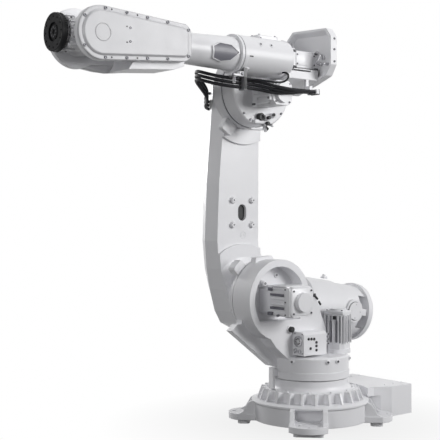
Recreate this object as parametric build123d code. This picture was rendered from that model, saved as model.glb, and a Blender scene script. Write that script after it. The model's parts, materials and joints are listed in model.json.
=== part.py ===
from build123d import *
from math import atan2, cos, degrees, hypot, radians, sin, sqrt, tan
import os

# Industrial robot arm with six axes, at its real size in millimetres.
# The frame stands on axis 1 at the floor: +X is forward, +Y is the robot's left, +Z is up.

# Joint layout
SHOULDER_X = 300.0
SHOULDER_Z = 780.0
LOWER_ARM = 1280.0
ELBOW_X = SHOULDER_X
ELBOW_Z = SHOULDER_Z + LOWER_ARM
ARM_RISE = 170.0
ARM_Z = ELBOW_Z + ARM_RISE
WRIST_X = 1615.0
FLANGE_REACH = 200.0
FLANGE_X = WRIST_X + FLANGE_REACH

# Clearances
RUN = 0.08
JOINT_GAP = 5.0
SEAT = 0.3

# Base
NECK_R = 235.0
NECK_TOP = 288.0
COVE = 32.0
RING_LAND = 11.0
RING_INNER_R = NECK_R + COVE + RING_LAND
RING_TOP = 222.0
FIN_COUNT = 24
FIN_HALF = 7.0
FIN_ROOT = 24.0
FIN_TOP = 28.0
FIN_REACH = 50.0
POCKET_FLOOR = 160.0
RING_R = RING_INNER_R + FIN_REACH + 8
LEDGE = 26.0
SKIRT_R = RING_R + LEDGE
SKIRT_LIP = 10.0
SKIRT_WALL_R = SKIRT_R - SKIRT_LIP
SKIRT_BOTTOM = 30.0
SKIRT_TOP = 150.0
FOOT_ANGLES = (45.0, 135.0, 225.0, 315.0)
PAD_WIDTH = 178.0
PAD_DEPTH = 74.0
PAD_HEIGHT = 26.0
FOOT_RADIUS = SKIRT_R + 46
LUG_TOP = 62.0
LUG_CORNER = SKIRT_R + 80
LUG_BOW = 66.0
LUG_TIP = LUG_CORNER + LUG_BOW
WINDOW_HALF = 81.0
RIB_INSET = 2.0
WINDOW_DEPTH = 52.0
WINDOW_TOP = SKIRT_TOP - 12
RIB_THICK = 28.0
RIB_REACH = SKIRT_R + 40
LUG_HALF = WINDOW_HALF + RIB_INSET + RIB_THICK + 4
BOLT_TANGENT = 58.0
BOLT_RADIAL = FOOT_RADIUS + 8
CENTRE_HOLE_RADIAL = LUG_TIP - 36
BOLT_HOLE_R = 13.5
CENTRE_HOLE_R = 12.0

# Rear connection box
BOX_REAR = -SKIRT_R - 288
BOX_CHAMFER_X = -SKIRT_R - 100
BOX_FRONT_X = 62 - SKIRT_R
BOX_HALF = 260.0
BOX_NARROW = 205.0
BOX_BOTTOM = 20.0
BOX_TOP = 207.0

# Turret
TURRET_BOTTOM = NECK_TOP + JOINT_GAP
TURRET_R = 243.0
STOP_ANGLE = -13.5
DRUM_TOP = 430.0
DRUM_R = 239.0
RING_BAND = 44.0
PAD_REAR_X = -235.0
SPIGOT_1_R = 150.0
SPIGOT_1_DEPTH = 60.0
HOUSING_R = 243.0
HOUSING_BACK_Y = -97.0
HOUSING_FACE_Y = 57.0
NOSE_RIB_Y = -45.0
BARREL_ROOM = 280.0
POCKET_2_R = 200.0
POCKET_2_FLOOR_Y = -30.0
POCKET_2_FLAT = 123.0
SPIGOT_2_R = 130.0
SPIGOT_2_DEPTH = 35.0

# Motors
MOTOR_2_SIZE = 178.0
MOTOR_2_END_Y = 245.0
MOTOR_2_CAP_R = 56.0
MOTOR_2_CAP_Y = 275.0
MOTOR_1_X = -166.0
MOTOR_1_Y = 78.0
MOTOR_1_R = 74.0
MOTOR_1_SIZE = 128.0
MOTOR_1_TOP = DRUM_TOP + 262
MOTOR_3_Z = ELBOW_Z - 38
MOTOR_3_SIZE = 146.0
MOTOR_3_END_Y = 78.0
MOTOR_3_CAP_R = 60.0
MOTOR_3_CAP_Y = 100.0
MOTOR_4_Y0 = -52.0
MOTOR_4_Y1 = 66.0
MOTOR_4_Z0 = ARM_Z - 46
MOTOR_4_Z1 = ARM_Z + 60

# Balancer: the barrel turns on a pin behind the turret, and its rod pulls on the lower arm.
PIVOT_X = SHOULDER_X - 716
CRANK = 200.0
BALANCER_Y = -200.0
PIVOT_DROP = 115.0
PIVOT_Z = SHOULDER_Z - PIVOT_DROP
BALANCER_LEAN = degrees(atan2(PIVOT_DROP, SHOULDER_X - PIVOT_X))
PIVOT_SPAN = hypot(SHOULDER_X - PIVOT_X, PIVOT_DROP)
BARREL_R = 180.0
BARREL_WALL = 16.0
BARREL_REAR = 95.0
BARREL_MOUTH = 370.0
BARREL_FLOOR = 14.0
EAR_INNER = 62.0
EAR_OUTER = 185.0
END_PLATE_FROM = -128.0
END_PLATE_TO = -166.0
END_PLATE_R = 190.0
END_BODY_R = 172.0
FORK_ROOF = 84.0
PIVOT_PIN_R = 30.0
BRACKET_HALF = 55.0
ROD_R = 32.0
ROD_EYE_R = 46.0
ROD_EYE_HALF = 40.0
ROD_LENGTH = 414.0
ARM_PIN_R = 22.0

# Lower arm
BEAM_NEAR_Y = -300.0
BEAM_FAR_Y = -486.0
BEAM_EDGE_Y = -424.0
BEAM_REAR = 132.0
BEAM_HEAD_R = 136.0
FAR_HEAD_R = 106.0
HUB_2_R = 243.0
HUB_2_RIM = 16.0
HUB_2_NECK_R = 176.0
HUB_2_ROOT_R = 300.0
HUB_2_FACE_Y = HOUSING_BACK_Y - JOINT_GAP
HUB_SLOT_HALF = 58.0
HUB_CORE_R = 145.0
HUB_3_R = 233.0
HUB_3_FACE_Y = -224.0
PAD_RING_R = 330.0
PAD_RING_HEIGHT = 18.0
OVAL_X = SHOULDER_X
OVAL_Z = SHOULDER_Z + 525
OVAL_WIDTH = 66.0
OVAL_HEIGHT = 102.0
OVAL_DEPTH = 110.0
BOSS_SPACING_X = 158.0
BOSS_SPACING_Z = 154.0
BOSS_R = 17.0
BOSS_HEIGHT = 20.0
BOSS_HOLE_R = 5.1
BOSS_HOLE_DEPTH = 30.0

# Arm house
GEAR_3_R = 228.0
GEAR_3_BACK_Y = HUB_3_FACE_Y + JOINT_GAP
GEAR_3_FACE_Y = -112.0
HOUSE_R = 115.0
HOUSE_REAR_X = ELBOW_X - 60
HOUSE_FRONT_X = ELBOW_X + 320
SPIGOT_3_R = 120.0
SPIGOT_3_DEPTH = 35.0
SPIGOT_4_R = 78.0
SPIGOT_4_DEPTH = 60.0

# Rear motor cover
COVER_FRONT_X = HOUSE_REAR_X - 232
COVER_REAR_X = COVER_FRONT_X - 60
COVER_RECESS = 26.0
COVER_RIM = 14.0

# Tube and wrist
TUBE_R = 101.0
TUBE_END_R = 84.0
TUBE_START_X = HOUSE_FRONT_X + JOINT_GAP
RING_4_R = 116.0
RING_4_WIDTH = 18.0
WRIST_R = 141.0
WRIST_HALF = 160.0
COVER_THICK = 26.0
FIELD_RISE = 10.0
FIELD_INSET = 24.0
FORK_HALF_GAP = 106.0
WRIST_TAIL_X = WRIST_X - 517
WRIST_TAIL_R = 60.0
WRIST_TAIL_RISE = 45.0
MOUTH_R = 258.0
BELLY_HALF = 96.0
FAR_ARM_R = 160.0
TRUNNION_R = 60.0
TILT_R = 98.0
TILT_HALF = FORK_HALF_GAP - JOINT_GAP
TILT_NOSE_R = 88.0
TILT_NECK_R = 76.0
DISC_R = 100.0
DISC_THICK = 31.0
DISC_BACK_X = FLANGE_X - DISC_THICK
PILOT_R = 50.0
PILOT_DEPTH = 10.0
TOOL_PCD = 160.0
TOOL_HOLES = 12
TOOL_HOLE_R = 5.1
TOOL_HOLE_DEPTH = 20.0
SPIGOT_6_R = 45.0
SPIGOT_6_DEPTH = 30.0

# Hoses
HOSE_R = 10.0
HOSE_PITCH = 23.0
THIN_CABLE_R = 6.0
CLAMP_WIDTH = 22.0
RUN_POINTS = (
    (-192, 130, -196), (-124, 130, -196), (-10, 137, -206), (100, 124, -203), (176, 80, -182),
    (234, 54, -174), (288, 54, -174))
LOOP_POINTS = (
    (310, 54, -174), (372, 54, -174), (448, 14, -162), (492, -48, -142), (494, -122, -122),
    (446, -196, -124), (360, -262, -150), (266, -328, -182), (198, -398, -210), (162, -468, -228),
    (112, -520, -240), (40, -534, -246), (-24, -534, -246))
THIN_POINTS = (
    (288, 76, -147), (248, 76, -147), (190, 112, -152), (130, 150, -164), (74, 160, -160), (34, 158, -140),
    (10, 142, -112), (4, 114, -90), (4, 80, -90))


def cyl_x(radius, x0, x1, y, z):
    return Pos((x0 + x1) / 2, y, z) * Rot(0, 90, 0) * Cylinder(radius, abs(x1 - x0))


def cyl_y(radius, y0, y1, x, z):
    return Pos(x, (y0 + y1) / 2, z) * Rot(90, 0, 0) * Cylinder(radius, abs(y1 - y0))


def cyl_z(radius, z0, z1, x=0.0, y=0.0):
    return Pos(x, y, (z0 + z1) / 2) * Cylinder(radius, abs(z1 - z0))


def cone_y(radius_low, radius_high, y_low, y_high, x, z):
    return Pos(x, (y_low + y_high) / 2, z) * Rot(-90, 0, 0) * Cone(radius_low, radius_high, y_high - y_low)


def block(x0, x1, y0, y1, z0, z1):
    return Pos((x0 + x1) / 2, (y0 + y1) / 2, (z0 + z1) / 2) * Box(abs(x1 - x0), abs(y1 - y0), abs(z1 - z0))


def side_plane(y):
    # A drawing plane seen from the robot's left: its x is +X and its y is +Z, and it extrudes towards -Y.
    return Plane(origin=(0, y, 0), x_dir=(1, 0, 0), z_dir=(0, -1, 0))


def front_plane(x):
    # A drawing plane seen from the front: its x is +Y and its y is +Z, and it extrudes towards +X.
    return Plane(origin=(x, 0, 0), x_dir=(0, 1, 0), z_dir=(1, 0, 0))


def slab_y(profile, y_high, y_low):
    return extrude(side_plane(y_high) * profile, y_high - y_low)


def slab_x(profile, x_low, x_high):
    return extrude(front_plane(x_low) * profile, x_high - x_low)


def about(x, z, points):
    # Points of a side or front outline, measured from the axis or face at x, z.
    return [(x + across, z + up) for across, up in points]


def outline(points):
    return make_face(Polyline(*points, close=True))


def save(shape, node):
    export_step(shape, "parts/" + node + ".step")


def base_casting():
    rim = Polyline(
        (NECK_R + COVE, RING_TOP), (RING_INNER_R, RING_TOP), (RING_INNER_R, POCKET_FLOOR), (RING_R, POCKET_FLOOR),
        (SKIRT_R, SKIRT_TOP), (SKIRT_R, SKIRT_TOP - 10), (SKIRT_WALL_R, SKIRT_TOP - 18), (SKIRT_WALL_R, SKIRT_BOTTOM),
        (0, SKIRT_BOTTOM), (0, NECK_TOP), (NECK_R, NECK_TOP), (NECK_R, RING_TOP + COVE))
    hollow = COVE * (1 - sqrt(0.5))
    cove = ThreePointArc((NECK_R, RING_TOP + COVE), (NECK_R + hollow, RING_TOP + hollow), (NECK_R + COVE, RING_TOP))
    body = revolve(Plane.XZ * make_face([*rim.edges(), cove]), Axis.Z)
    fin_plan = outline([
        (RING_INNER_R - 8, -FIN_ROOT), (RING_INNER_R + 10, -FIN_HALF - 6), (RING_INNER_R + 24, -FIN_HALF),
        (RING_R, -FIN_HALF), (RING_R, FIN_HALF), (RING_INNER_R + 24, FIN_HALF),
        (RING_INNER_R + 10, FIN_HALF + 6), (RING_INNER_R - 8, FIN_ROOT)])
    fin_side = outline([
        (NECK_R, POCKET_FLOOR - 3), (NECK_R, RING_TOP), (RING_INNER_R + FIN_TOP, RING_TOP),
        (RING_INNER_R + FIN_REACH, POCKET_FLOOR + 4), (RING_INNER_R + FIN_REACH, POCKET_FLOOR - 3)])
    fin = extrude(Pos(0, 0, POCKET_FLOOR - 4) * fin_plan, RING_TOP - POCKET_FLOOR + 8) & slab_y(fin_side, 60, -60)
    body += [Rot(0, 0, (index + 0.5) * 360 / FIN_COUNT) * fin for index in range(FIN_COUNT)]
    lug_edge = Polyline(
        (LUG_CORNER, LUG_HALF), (SKIRT_WALL_R - 60, LUG_HALF), (SKIRT_WALL_R - 60, -LUG_HALF), (LUG_CORNER, -LUG_HALF))
    bow = ThreePointArc((LUG_CORNER, -LUG_HALF), (LUG_TIP, 0), (LUG_CORNER, LUG_HALF))
    lug = extrude(Pos(0, 0, PAD_HEIGHT) * make_face([*lug_edge.edges(), bow]), LUG_TOP - PAD_HEIGHT)
    rib_profile = outline([
        (SKIRT_WALL_R - 70, LUG_TOP - 5), (LUG_CORNER + 6, LUG_TOP - 5), (RIB_REACH + 8, LUG_TOP + 16),
        (RIB_REACH - 14, SKIRT_TOP - 34), (RIB_REACH - 26, SKIRT_TOP - 14), (SKIRT_R - 8, SKIRT_TOP - 4),
        (SKIRT_WALL_R - 70, SKIRT_TOP - 4)])
    for side in (-1, 1):
        middle = side * (WINDOW_HALF + RIB_INSET + RIB_THICK / 2)
        lug += slab_y(rib_profile, middle + RIB_THICK / 2, middle - RIB_THICK / 2)
    pad = Pos(FOOT_RADIUS, 0, 0) * extrude(RectangleRounded(PAD_DEPTH, PAD_WIDTH, 24), PAD_HEIGHT)
    window = block(SKIRT_WALL_R - WINDOW_DEPTH, SKIRT_R + 60, -WINDOW_HALF, WINDOW_HALF, LUG_TOP + 4, WINDOW_TOP)
    window = fillet(window.edges().filter_by(Axis.X), 24)
    holes = cyl_z(CENTRE_HOLE_R, -1, LUG_TOP + 1, CENTRE_HOLE_RADIAL, 0)
    for side in (-1, 1):
        holes += cyl_z(BOLT_HOLE_R, -1, LUG_TOP + 1, BOLT_RADIAL, side * BOLT_TANGENT)
    for angle in FOOT_ANGLES:
        turn = Rot(0, 0, angle)
        body += turn * (lug + pad)
        body -= turn * window
        body -= turn * holes
    body -= cyl_z(SPIGOT_1_R + RUN, NECK_TOP - SPIGOT_1_DEPTH - 2, NECK_TOP + 1)
    return body


def connection_box():
    plan = outline([
        (BOX_REAR, -BOX_HALF), (BOX_CHAMFER_X, -BOX_HALF), (BOX_CHAMFER_X + 106, -BOX_NARROW),
        (BOX_FRONT_X, -BOX_NARROW), (BOX_FRONT_X, BOX_NARROW), (BOX_CHAMFER_X + 106, BOX_NARROW),
        (BOX_CHAMFER_X, BOX_HALF), (BOX_REAR, BOX_HALF)])
    shell = extrude(Pos(0, 0, BOX_BOTTOM) * plan, BOX_TOP - BOX_BOTTOM)
    shell -= cyl_z(SKIRT_R + SEAT, 0, BOX_TOP + 10)
    for angle in FOOT_ANGLES[1:3]:
        lug_room = block(SKIRT_R - 80, LUG_TIP + 6, -LUG_HALF - 6, LUG_HALF + 6, 0, SKIRT_TOP + 2)
        shell -= Rot(0, 0, angle) * lug_room
    return shell


def turret_casting():
    body = cyl_z(TURRET_R, TURRET_BOTTOM, TURRET_BOTTOM + RING_BAND)
    body += cyl_z(DRUM_R, TURRET_BOTTOM, DRUM_TOP)
    body = chamfer(body.edges().filter_by(GeomType.CIRCLE).group_by(Axis.Z)[-1], 10)
    body += cyl_z(SPIGOT_1_R, TURRET_BOTTOM - SPIGOT_1_DEPTH, TURRET_BOTTOM)
    nose = outline([
        (60, TURRET_BOTTOM + 70), (225, TURRET_BOTTOM + 70), (284, TURRET_BOTTOM + 79),
        *about(SHOULDER_X, SHOULDER_Z, [(293, -176), (248, -140), (216, -140), (208, -64), (190, 0), (-240, 0)])])
    body += slab_y(nose, NOSE_RIB_Y, HOUSING_BACK_Y)
    cheek = outline([
        (-120, DRUM_TOP + 70), (-205, DRUM_TOP - 60), (150, DRUM_TOP - 60), (236, DRUM_TOP - 12), (330, DRUM_TOP + 62),
        *about(SHOULDER_X, SHOULDER_Z, [(145, -148), (220, -20), (0, 0), (-215, 40), (-292, 0)])])
    body += slab_y(cheek, HOUSING_FACE_Y, HOUSING_BACK_Y)
    body -= block(-300, SHOULDER_X - BARREL_ROOM, HOUSING_BACK_Y - 1, BALANCER_Y + BARREL_R + 8, DRUM_TOP, SHOULDER_Z + 100)
    body -= cyl_z(MOTOR_1_R + 8, DRUM_TOP, SHOULDER_Z, MOTOR_1_X, MOTOR_1_Y)
    body += cyl_y(HOUSING_R, HOUSING_BACK_Y, HOUSING_FACE_Y, SHOULDER_X, SHOULDER_Z)
    lifting_lug = outline(about(SHOULDER_X, SHOULDER_Z, [(120, 180), (102, 252), (-22, 262), (-56, 220), (-56, 180)]))
    body += slab_y(lifting_lug, HOUSING_BACK_Y + 50, HOUSING_BACK_Y + 6)
    body += block(PAD_REAR_X, -20, -262, -60, TURRET_BOTTOM + 45, DRUM_TOP)
    recess = cyl_y(POCKET_2_R, POCKET_2_FLOOR_Y, HOUSING_FACE_Y + 1, SHOULDER_X, SHOULDER_Z)
    recess &= block(SHOULDER_X - 300, SHOULDER_X + 300, -200, 200, SHOULDER_Z - POCKET_2_FLAT, SHOULDER_Z + 300)
    body -= recess
    body -= cyl_y(SPIGOT_2_R + RUN, HOUSING_BACK_Y - 1, HOUSING_BACK_Y + SPIGOT_2_DEPTH + 2, SHOULDER_X, SHOULDER_Z)
    return body


def balancer_bracket():
    profile = outline([
        (PAD_REAR_X, DRUM_TOP), (PAD_REAR_X, DRUM_TOP - 85), (PAD_REAR_X - 55, DRUM_TOP - 40),
        *about(PIVOT_X, PIVOT_Z, [
            (6, -165), (-54, -20), (0, 50), (54, -5), (54, -65), (71, -165), (66, -187), (86, -213)])])
    lug = slab_y(profile, BALANCER_Y + BRACKET_HALF, BALANCER_Y - BRACKET_HALF)
    lug += cyl_y(56, BALANCER_Y - BRACKET_HALF, BALANCER_Y + BRACKET_HALF, PIVOT_X, PIVOT_Z)
    lug -= cyl_y(PIVOT_PIN_R + RUN, BALANCER_Y - 99, BALANCER_Y + 99, PIVOT_X, PIVOT_Z)
    return lug


def pivot_pin():
    reach = EAR_OUTER - 12
    return cyl_y(PIVOT_PIN_R, BALANCER_Y - reach, BALANCER_Y + reach, PIVOT_X, PIVOT_Z)


def motor_1():
    z0 = DRUM_TOP
    body = Pos(MOTOR_1_X, MOTOR_1_Y, (z0 + MOTOR_1_TOP) / 2) * Rot(0, 0, 20) * Box(
        MOTOR_1_SIZE, MOTOR_1_SIZE, MOTOR_1_TOP - z0)
    body = chamfer(body.edges().filter_by(Axis.Z), 24)
    for side in (-1, 1):
        for place in (-20, 20):
            slot = block(-9, 9, side * MOTOR_1_SIZE / 2 - 8, side * MOTOR_1_SIZE / 2 + 8, z0 + 70, MOTOR_1_TOP - 60)
            body -= Pos(MOTOR_1_X, MOTOR_1_Y, 0) * Rot(0, 0, 20) * Pos(place, 0, 0) * slot
            body -= Pos(MOTOR_1_X, MOTOR_1_Y, 0) * Rot(0, 0, 110) * Pos(place, 0, 0) * slot
    body += cyl_z(MOTOR_1_R - 20, MOTOR_1_TOP, MOTOR_1_TOP + 12, MOTOR_1_X, MOTOR_1_Y)
    body += cyl_z(MOTOR_1_R + 4, z0, z0 + 24, MOTOR_1_X, MOTOR_1_Y)
    return body


def motor_2():
    half = MOTOR_2_SIZE / 2
    body = Pos(SHOULDER_X, (POCKET_2_FLOOR_Y + MOTOR_2_END_Y) / 2, SHOULDER_Z) * Box(
        MOTOR_2_SIZE, MOTOR_2_END_Y - POCKET_2_FLOOR_Y, MOTOR_2_SIZE)
    body = chamfer(body.edges().filter_by(Axis.Y), 22)
    for side in (-1, 1):
        groove_z = SHOULDER_Z + side * 38
        body -= block(SHOULDER_X + half - 14, SHOULDER_X + half + 1, 80, 190, groove_z - 9, groove_z + 9)
    body += cyl_y(MOTOR_2_CAP_R, MOTOR_2_END_Y, MOTOR_2_CAP_Y, SHOULDER_X, SHOULDER_Z)
    return body


def connector_box():
    body = block(4, 195, HOUSING_FACE_Y, HOUSING_FACE_Y + 93, DRUM_TOP + 12, DRUM_TOP + 153)
    return chamfer(body.faces().sort_by(Axis.Z)[-1].edges().filter_by(Axis.X).sort_by(Axis.Y)[-1], 16)


def stop_plate():
    plate = block(TURRET_R + 19, TURRET_R + 33, -26, 26, RING_TOP + 8, TURRET_BOTTOM + 65)
    plate += block(TURRET_R - 12, TURRET_R + 21, -26, 26, TURRET_BOTTOM + 12, TURRET_BOTTOM + 57)
    plate -= cyl_z(TURRET_R, TURRET_BOTTOM, TURRET_BOTTOM + 100)
    return Rot(0, 0, STOP_ANGLE) * plate


def balancer_frame(along, across_up):
    # A point in the balancer's own line: along from the pivot towards the shoulder, and up from that line.
    lean = radians(BALANCER_LEAN)
    return (PIVOT_X + along * cos(lean) - across_up * sin(lean), PIVOT_Z + along * sin(lean) + across_up * cos(lean))


def on_balancer(shape):
    # Moves a shape drawn with its pivot at the origin and its line along +X onto the balancer's line.
    return Pos(PIVOT_X, BALANCER_Y, PIVOT_Z) * Rot(0, -BALANCER_LEAN, 0) * shape


def balancer_barrel():
    body = cyl_x(BARREL_R, BARREL_REAR, BARREL_MOUTH, 0, 0)
    body = chamfer(body.edges().filter_by(GeomType.CIRCLE).sort_by(Axis.X)[-1], 10)
    body -= cyl_x(BARREL_R - BARREL_WALL, BARREL_REAR + BARREL_FLOOR, BARREL_MOUTH + 1, 0, 0)
    return on_balancer(body)


def balancer_end():
    body = cyl_x(END_BODY_R, END_PLATE_FROM - 1, BARREL_REAR, 0, 0)
    body -= block(END_PLATE_FROM, BARREL_REAR + 1, -EAR_INNER, EAR_INNER, -END_BODY_R - 1, FORK_ROOF)
    for side in (-1, 1):
        for height in (-1, 1):
            body -= block(
                END_PLATE_FROM, END_PLATE_FROM + 62, side * (EAR_INNER + 30), side * END_BODY_R, height * 22, height * 104)
        body += cyl_y(74, side * EAR_INNER, side * EAR_OUTER, 0, 0)
    body += cyl_x(END_PLATE_R, END_PLATE_TO, END_PLATE_FROM, 0, 0)
    body -= cyl_y(PIVOT_PIN_R + RUN, -EAR_OUTER - 1, EAR_OUTER + 1, 0, 0)
    return on_balancer(body)


def ear_caps():
    caps = cyl_y(58, EAR_OUTER, EAR_OUTER + 8, 0, 0)
    caps += cyl_y(58, -EAR_OUTER - 8, -EAR_OUTER, 0, 0)
    return on_balancer(caps)


def balancer_rod():
    eye_at = PIVOT_SPAN - CRANK
    body = cyl_x(ROD_R, eye_at - ROD_LENGTH, eye_at - ROD_EYE_R + 6, 0, 0)
    body += cyl_y(ROD_EYE_R, -ROD_EYE_HALF, ROD_EYE_HALF, eye_at, 0)
    body -= cyl_y(ARM_PIN_R + RUN, -ROD_EYE_HALF - 1, ROD_EYE_HALF + 1, eye_at, 0)
    return on_balancer(body)


def arm_pin():
    x, z = balancer_frame(PIVOT_SPAN - CRANK, 0)
    return cyl_y(ARM_PIN_R, BALANCER_Y - HUB_SLOT_HALF - 30, BALANCER_Y + HUB_SLOT_HALF + 30, x, z)


def lower_arm_casting():
    near = outline([
        (ELBOW_X - BEAM_HEAD_R, ELBOW_Z), (ELBOW_X + BEAM_HEAD_R, ELBOW_Z),
        *about(SHOULDER_X, SHOULDER_Z, [
            (186, 700), (200, 350), (186, 177), (162, 47), (122, -90), (76, -168), (0, -206), (-110, -188),
            (-200, -100), (-232, 20), (-217, 150), (-137, 262), (-BEAM_REAR, 345)])])
    far = outline([
        (ELBOW_X - FAR_HEAD_R, ELBOW_Z), (ELBOW_X + FAR_HEAD_R, ELBOW_Z),
        *about(SHOULDER_X, SHOULDER_Z, [
            (156, 700), (170, 350), (152, 177), (124, 70), (78, -52), (30, -125), (-14, -158), (-88, -150),
            (-164, -76), (-196, 20), (-184, 134), (-112, 240), (28 - BEAM_REAR, 345)])])
    body = slab_y(near, BEAM_NEAR_Y, BEAM_EDGE_Y)
    body += loft([side_plane(BEAM_EDGE_Y) * near, side_plane(BEAM_FAR_Y) * far], ruled=True)
    body += cyl_y(BEAM_HEAD_R, BEAM_EDGE_Y, BEAM_NEAR_Y, ELBOW_X, ELBOW_Z)
    body += cone_y(FAR_HEAD_R, BEAM_HEAD_R, BEAM_FAR_Y, BEAM_EDGE_Y, ELBOW_X, ELBOW_Z)
    within = slab_y(near, -200, BEAM_NEAR_Y - 10)
    root_2 = cyl_y(PAD_RING_R, BEAM_NEAR_Y - 1, BEAM_NEAR_Y + PAD_RING_HEIGHT, SHOULDER_X, SHOULDER_Z)
    root_2 += cone_y(HUB_2_ROOT_R, HUB_2_NECK_R, BEAM_NEAR_Y, BALANCER_Y - HUB_SLOT_HALF, SHOULDER_X, SHOULDER_Z)
    body += root_2 & within
    body += cyl_y(HUB_CORE_R, BALANCER_Y - HUB_SLOT_HALF - 1, BALANCER_Y + HUB_SLOT_HALF + 1, SHOULDER_X, SHOULDER_Z)
    body += cone_y(HUB_2_NECK_R, HUB_2_R, BALANCER_Y + HUB_SLOT_HALF, HUB_2_FACE_Y - HUB_2_RIM, SHOULDER_X, SHOULDER_Z)
    body += cyl_y(HUB_2_R, HUB_2_FACE_Y - HUB_2_RIM, HUB_2_FACE_Y, SHOULDER_X, SHOULDER_Z)
    pin_x, pin_z = balancer_frame(PIVOT_SPAN - CRANK, 0)
    body += cyl_y(ARM_PIN_R + 18, BALANCER_Y + HUB_SLOT_HALF, HUB_2_FACE_Y, pin_x, pin_z)
    body += cyl_y(ARM_PIN_R + 18, BEAM_NEAR_Y - 1, BALANCER_Y - HUB_SLOT_HALF, pin_x, pin_z)
    body -= cyl_y(ARM_PIN_R + RUN, BALANCER_Y - HUB_SLOT_HALF - 30, BALANCER_Y + HUB_SLOT_HALF + 30, pin_x, pin_z)
    root_3 = cyl_y(PAD_RING_R, BEAM_NEAR_Y - 1, BEAM_NEAR_Y + PAD_RING_HEIGHT, ELBOW_X, ELBOW_Z)
    body += root_3 & within
    body += cyl_y(HUB_3_R, BEAM_NEAR_Y - 1, HUB_3_FACE_Y, ELBOW_X, ELBOW_Z)
    body -= slab_y(Pos(OVAL_X, OVAL_Z) * Rot(0, 0, 90) * SlotOverall(OVAL_HEIGHT, OVAL_WIDTH),
                   BEAM_NEAR_Y + 1, BEAM_NEAR_Y - OVAL_DEPTH)
    for x in (-BOSS_SPACING_X / 2, BOSS_SPACING_X / 2):
        for z in (-BOSS_SPACING_Z / 2, BOSS_SPACING_Z / 2):
            body += cyl_y(BOSS_R, BEAM_NEAR_Y - 1, BEAM_NEAR_Y + BOSS_HEIGHT, OVAL_X + x, OVAL_Z + z)
            body -= cyl_y(BOSS_HOLE_R, BEAM_NEAR_Y + BOSS_HEIGHT - BOSS_HOLE_DEPTH, BEAM_NEAR_Y + BOSS_HEIGHT + 1,
                          OVAL_X + x, OVAL_Z + z)
    body += cyl_y(SPIGOT_2_R, HUB_2_FACE_Y, HOUSING_BACK_Y + SPIGOT_2_DEPTH, SHOULDER_X, SHOULDER_Z)
    body -= cyl_y(SPIGOT_3_R + RUN, HUB_3_FACE_Y - SPIGOT_3_DEPTH - 2, HUB_3_FACE_Y + 1, ELBOW_X, ELBOW_Z)
    return body


def stop_block(centre_x, centre_z, angle, inner, outer, width, y_low, y_high):
    # A buffer block standing on a hub, its long side along the rim.
    body = block(inner, outer, y_low, y_high, -width / 2, width / 2)
    body = chamfer(body.edges().filter_by(Axis.Y).group_by(Axis.X)[-1], 10)
    return Pos(centre_x, 0, centre_z) * Rot(0, -angle, 0) * body


def shelf():
    profile = outline(about(0, ARM_Z, [
        (-204, -50), (-204, -168), (-154, -184), (28, -130), (78, -114), (78, -54), (40, -50)]))
    motor_room = MOTOR_3_Z + MOTOR_3_SIZE / 2 + 2
    body = slab_x(profile, COVER_FRONT_X, HOUSE_REAR_X + 24)
    return body - block(ELBOW_X - MOTOR_3_SIZE / 2 - 2, ELBOW_X, GEAR_3_FACE_Y, 100, ELBOW_Z - 60, motor_room)


def arm_house_casting():
    body = cyl_x(HOUSE_R, HOUSE_REAR_X, HOUSE_FRONT_X - 16, 0, ARM_Z)
    body += cyl_x(RING_4_R, HOUSE_FRONT_X - 22, HOUSE_FRONT_X, 0, ARM_Z)
    gear = cyl_y(GEAR_3_R, GEAR_3_BACK_Y, GEAR_3_FACE_Y, ELBOW_X, ELBOW_Z)
    body += chamfer(gear.edges().group_by(Axis.Y)[-1], 8)
    motor_room = MOTOR_3_Z + MOTOR_3_SIZE / 2 + 2
    web = outline([
        (ELBOW_X - 140, motor_room), (ELBOW_X + 150, motor_room), (ELBOW_X + 200, ARM_Z - 60), (ELBOW_X + 200, ARM_Z),
        (ELBOW_X - 140, ARM_Z)])
    body += slab_y(web, -30, GEAR_3_BACK_Y + 16)
    body += extrude(Pos(ELBOW_X + 45, -46, ARM_Z + 60) * RectangleRounded(170, 92, 20), HOUSE_R - 60 + 20)
    body += cyl_y(SPIGOT_3_R, GEAR_3_BACK_Y - JOINT_GAP - SPIGOT_3_DEPTH, GEAR_3_BACK_Y, ELBOW_X, ELBOW_Z)
    body -= cyl_x(SPIGOT_4_R + RUN, HOUSE_FRONT_X - SPIGOT_4_DEPTH - 2, HOUSE_FRONT_X + 1, 0, ARM_Z)
    body += shelf()
    body += block(COVER_FRONT_X, HOUSE_REAR_X + 30, -204, -168, ARM_Z - 110, ARM_Z + 155)
    body -= cyl_x(HOUSE_R - 20, COVER_FRONT_X + 60, HOUSE_REAR_X, 10, ARM_Z)
    gland_x, gland_y, gland_z = placed(THIN_POINTS[-1])
    body += cyl_y(THIN_CABLE_R + 5, gland_y - 40, gland_y, gland_x, gland_z)
    return body


def motor_3():
    y0 = GEAR_3_FACE_Y
    half = MOTOR_3_SIZE / 2
    body = Pos(ELBOW_X, (y0 + MOTOR_3_END_Y) / 2, MOTOR_3_Z) * Box(MOTOR_3_SIZE, MOTOR_3_END_Y - y0, MOTOR_3_SIZE)
    body = chamfer(body.edges().filter_by(Axis.Y), 24)
    for side in (-1, 1):
        groove_z = MOTOR_3_Z + side * 30
        body -= block(ELBOW_X + half - 12, ELBOW_X + half + 1, y0 + 40, MOTOR_3_END_Y - 30, groove_z - 8, groove_z + 8)
    body += cyl_y(MOTOR_3_CAP_R, MOTOR_3_END_Y, MOTOR_3_CAP_Y, ELBOW_X, MOTOR_3_Z)
    return body


def motor_4():
    body = block(COVER_FRONT_X - COVER_RECESS, HOUSE_REAR_X, MOTOR_4_Y0, MOTOR_4_Y1, MOTOR_4_Z0, MOTOR_4_Z1)
    return fillet(body.edges().filter_by(Axis.X), 8)


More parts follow.
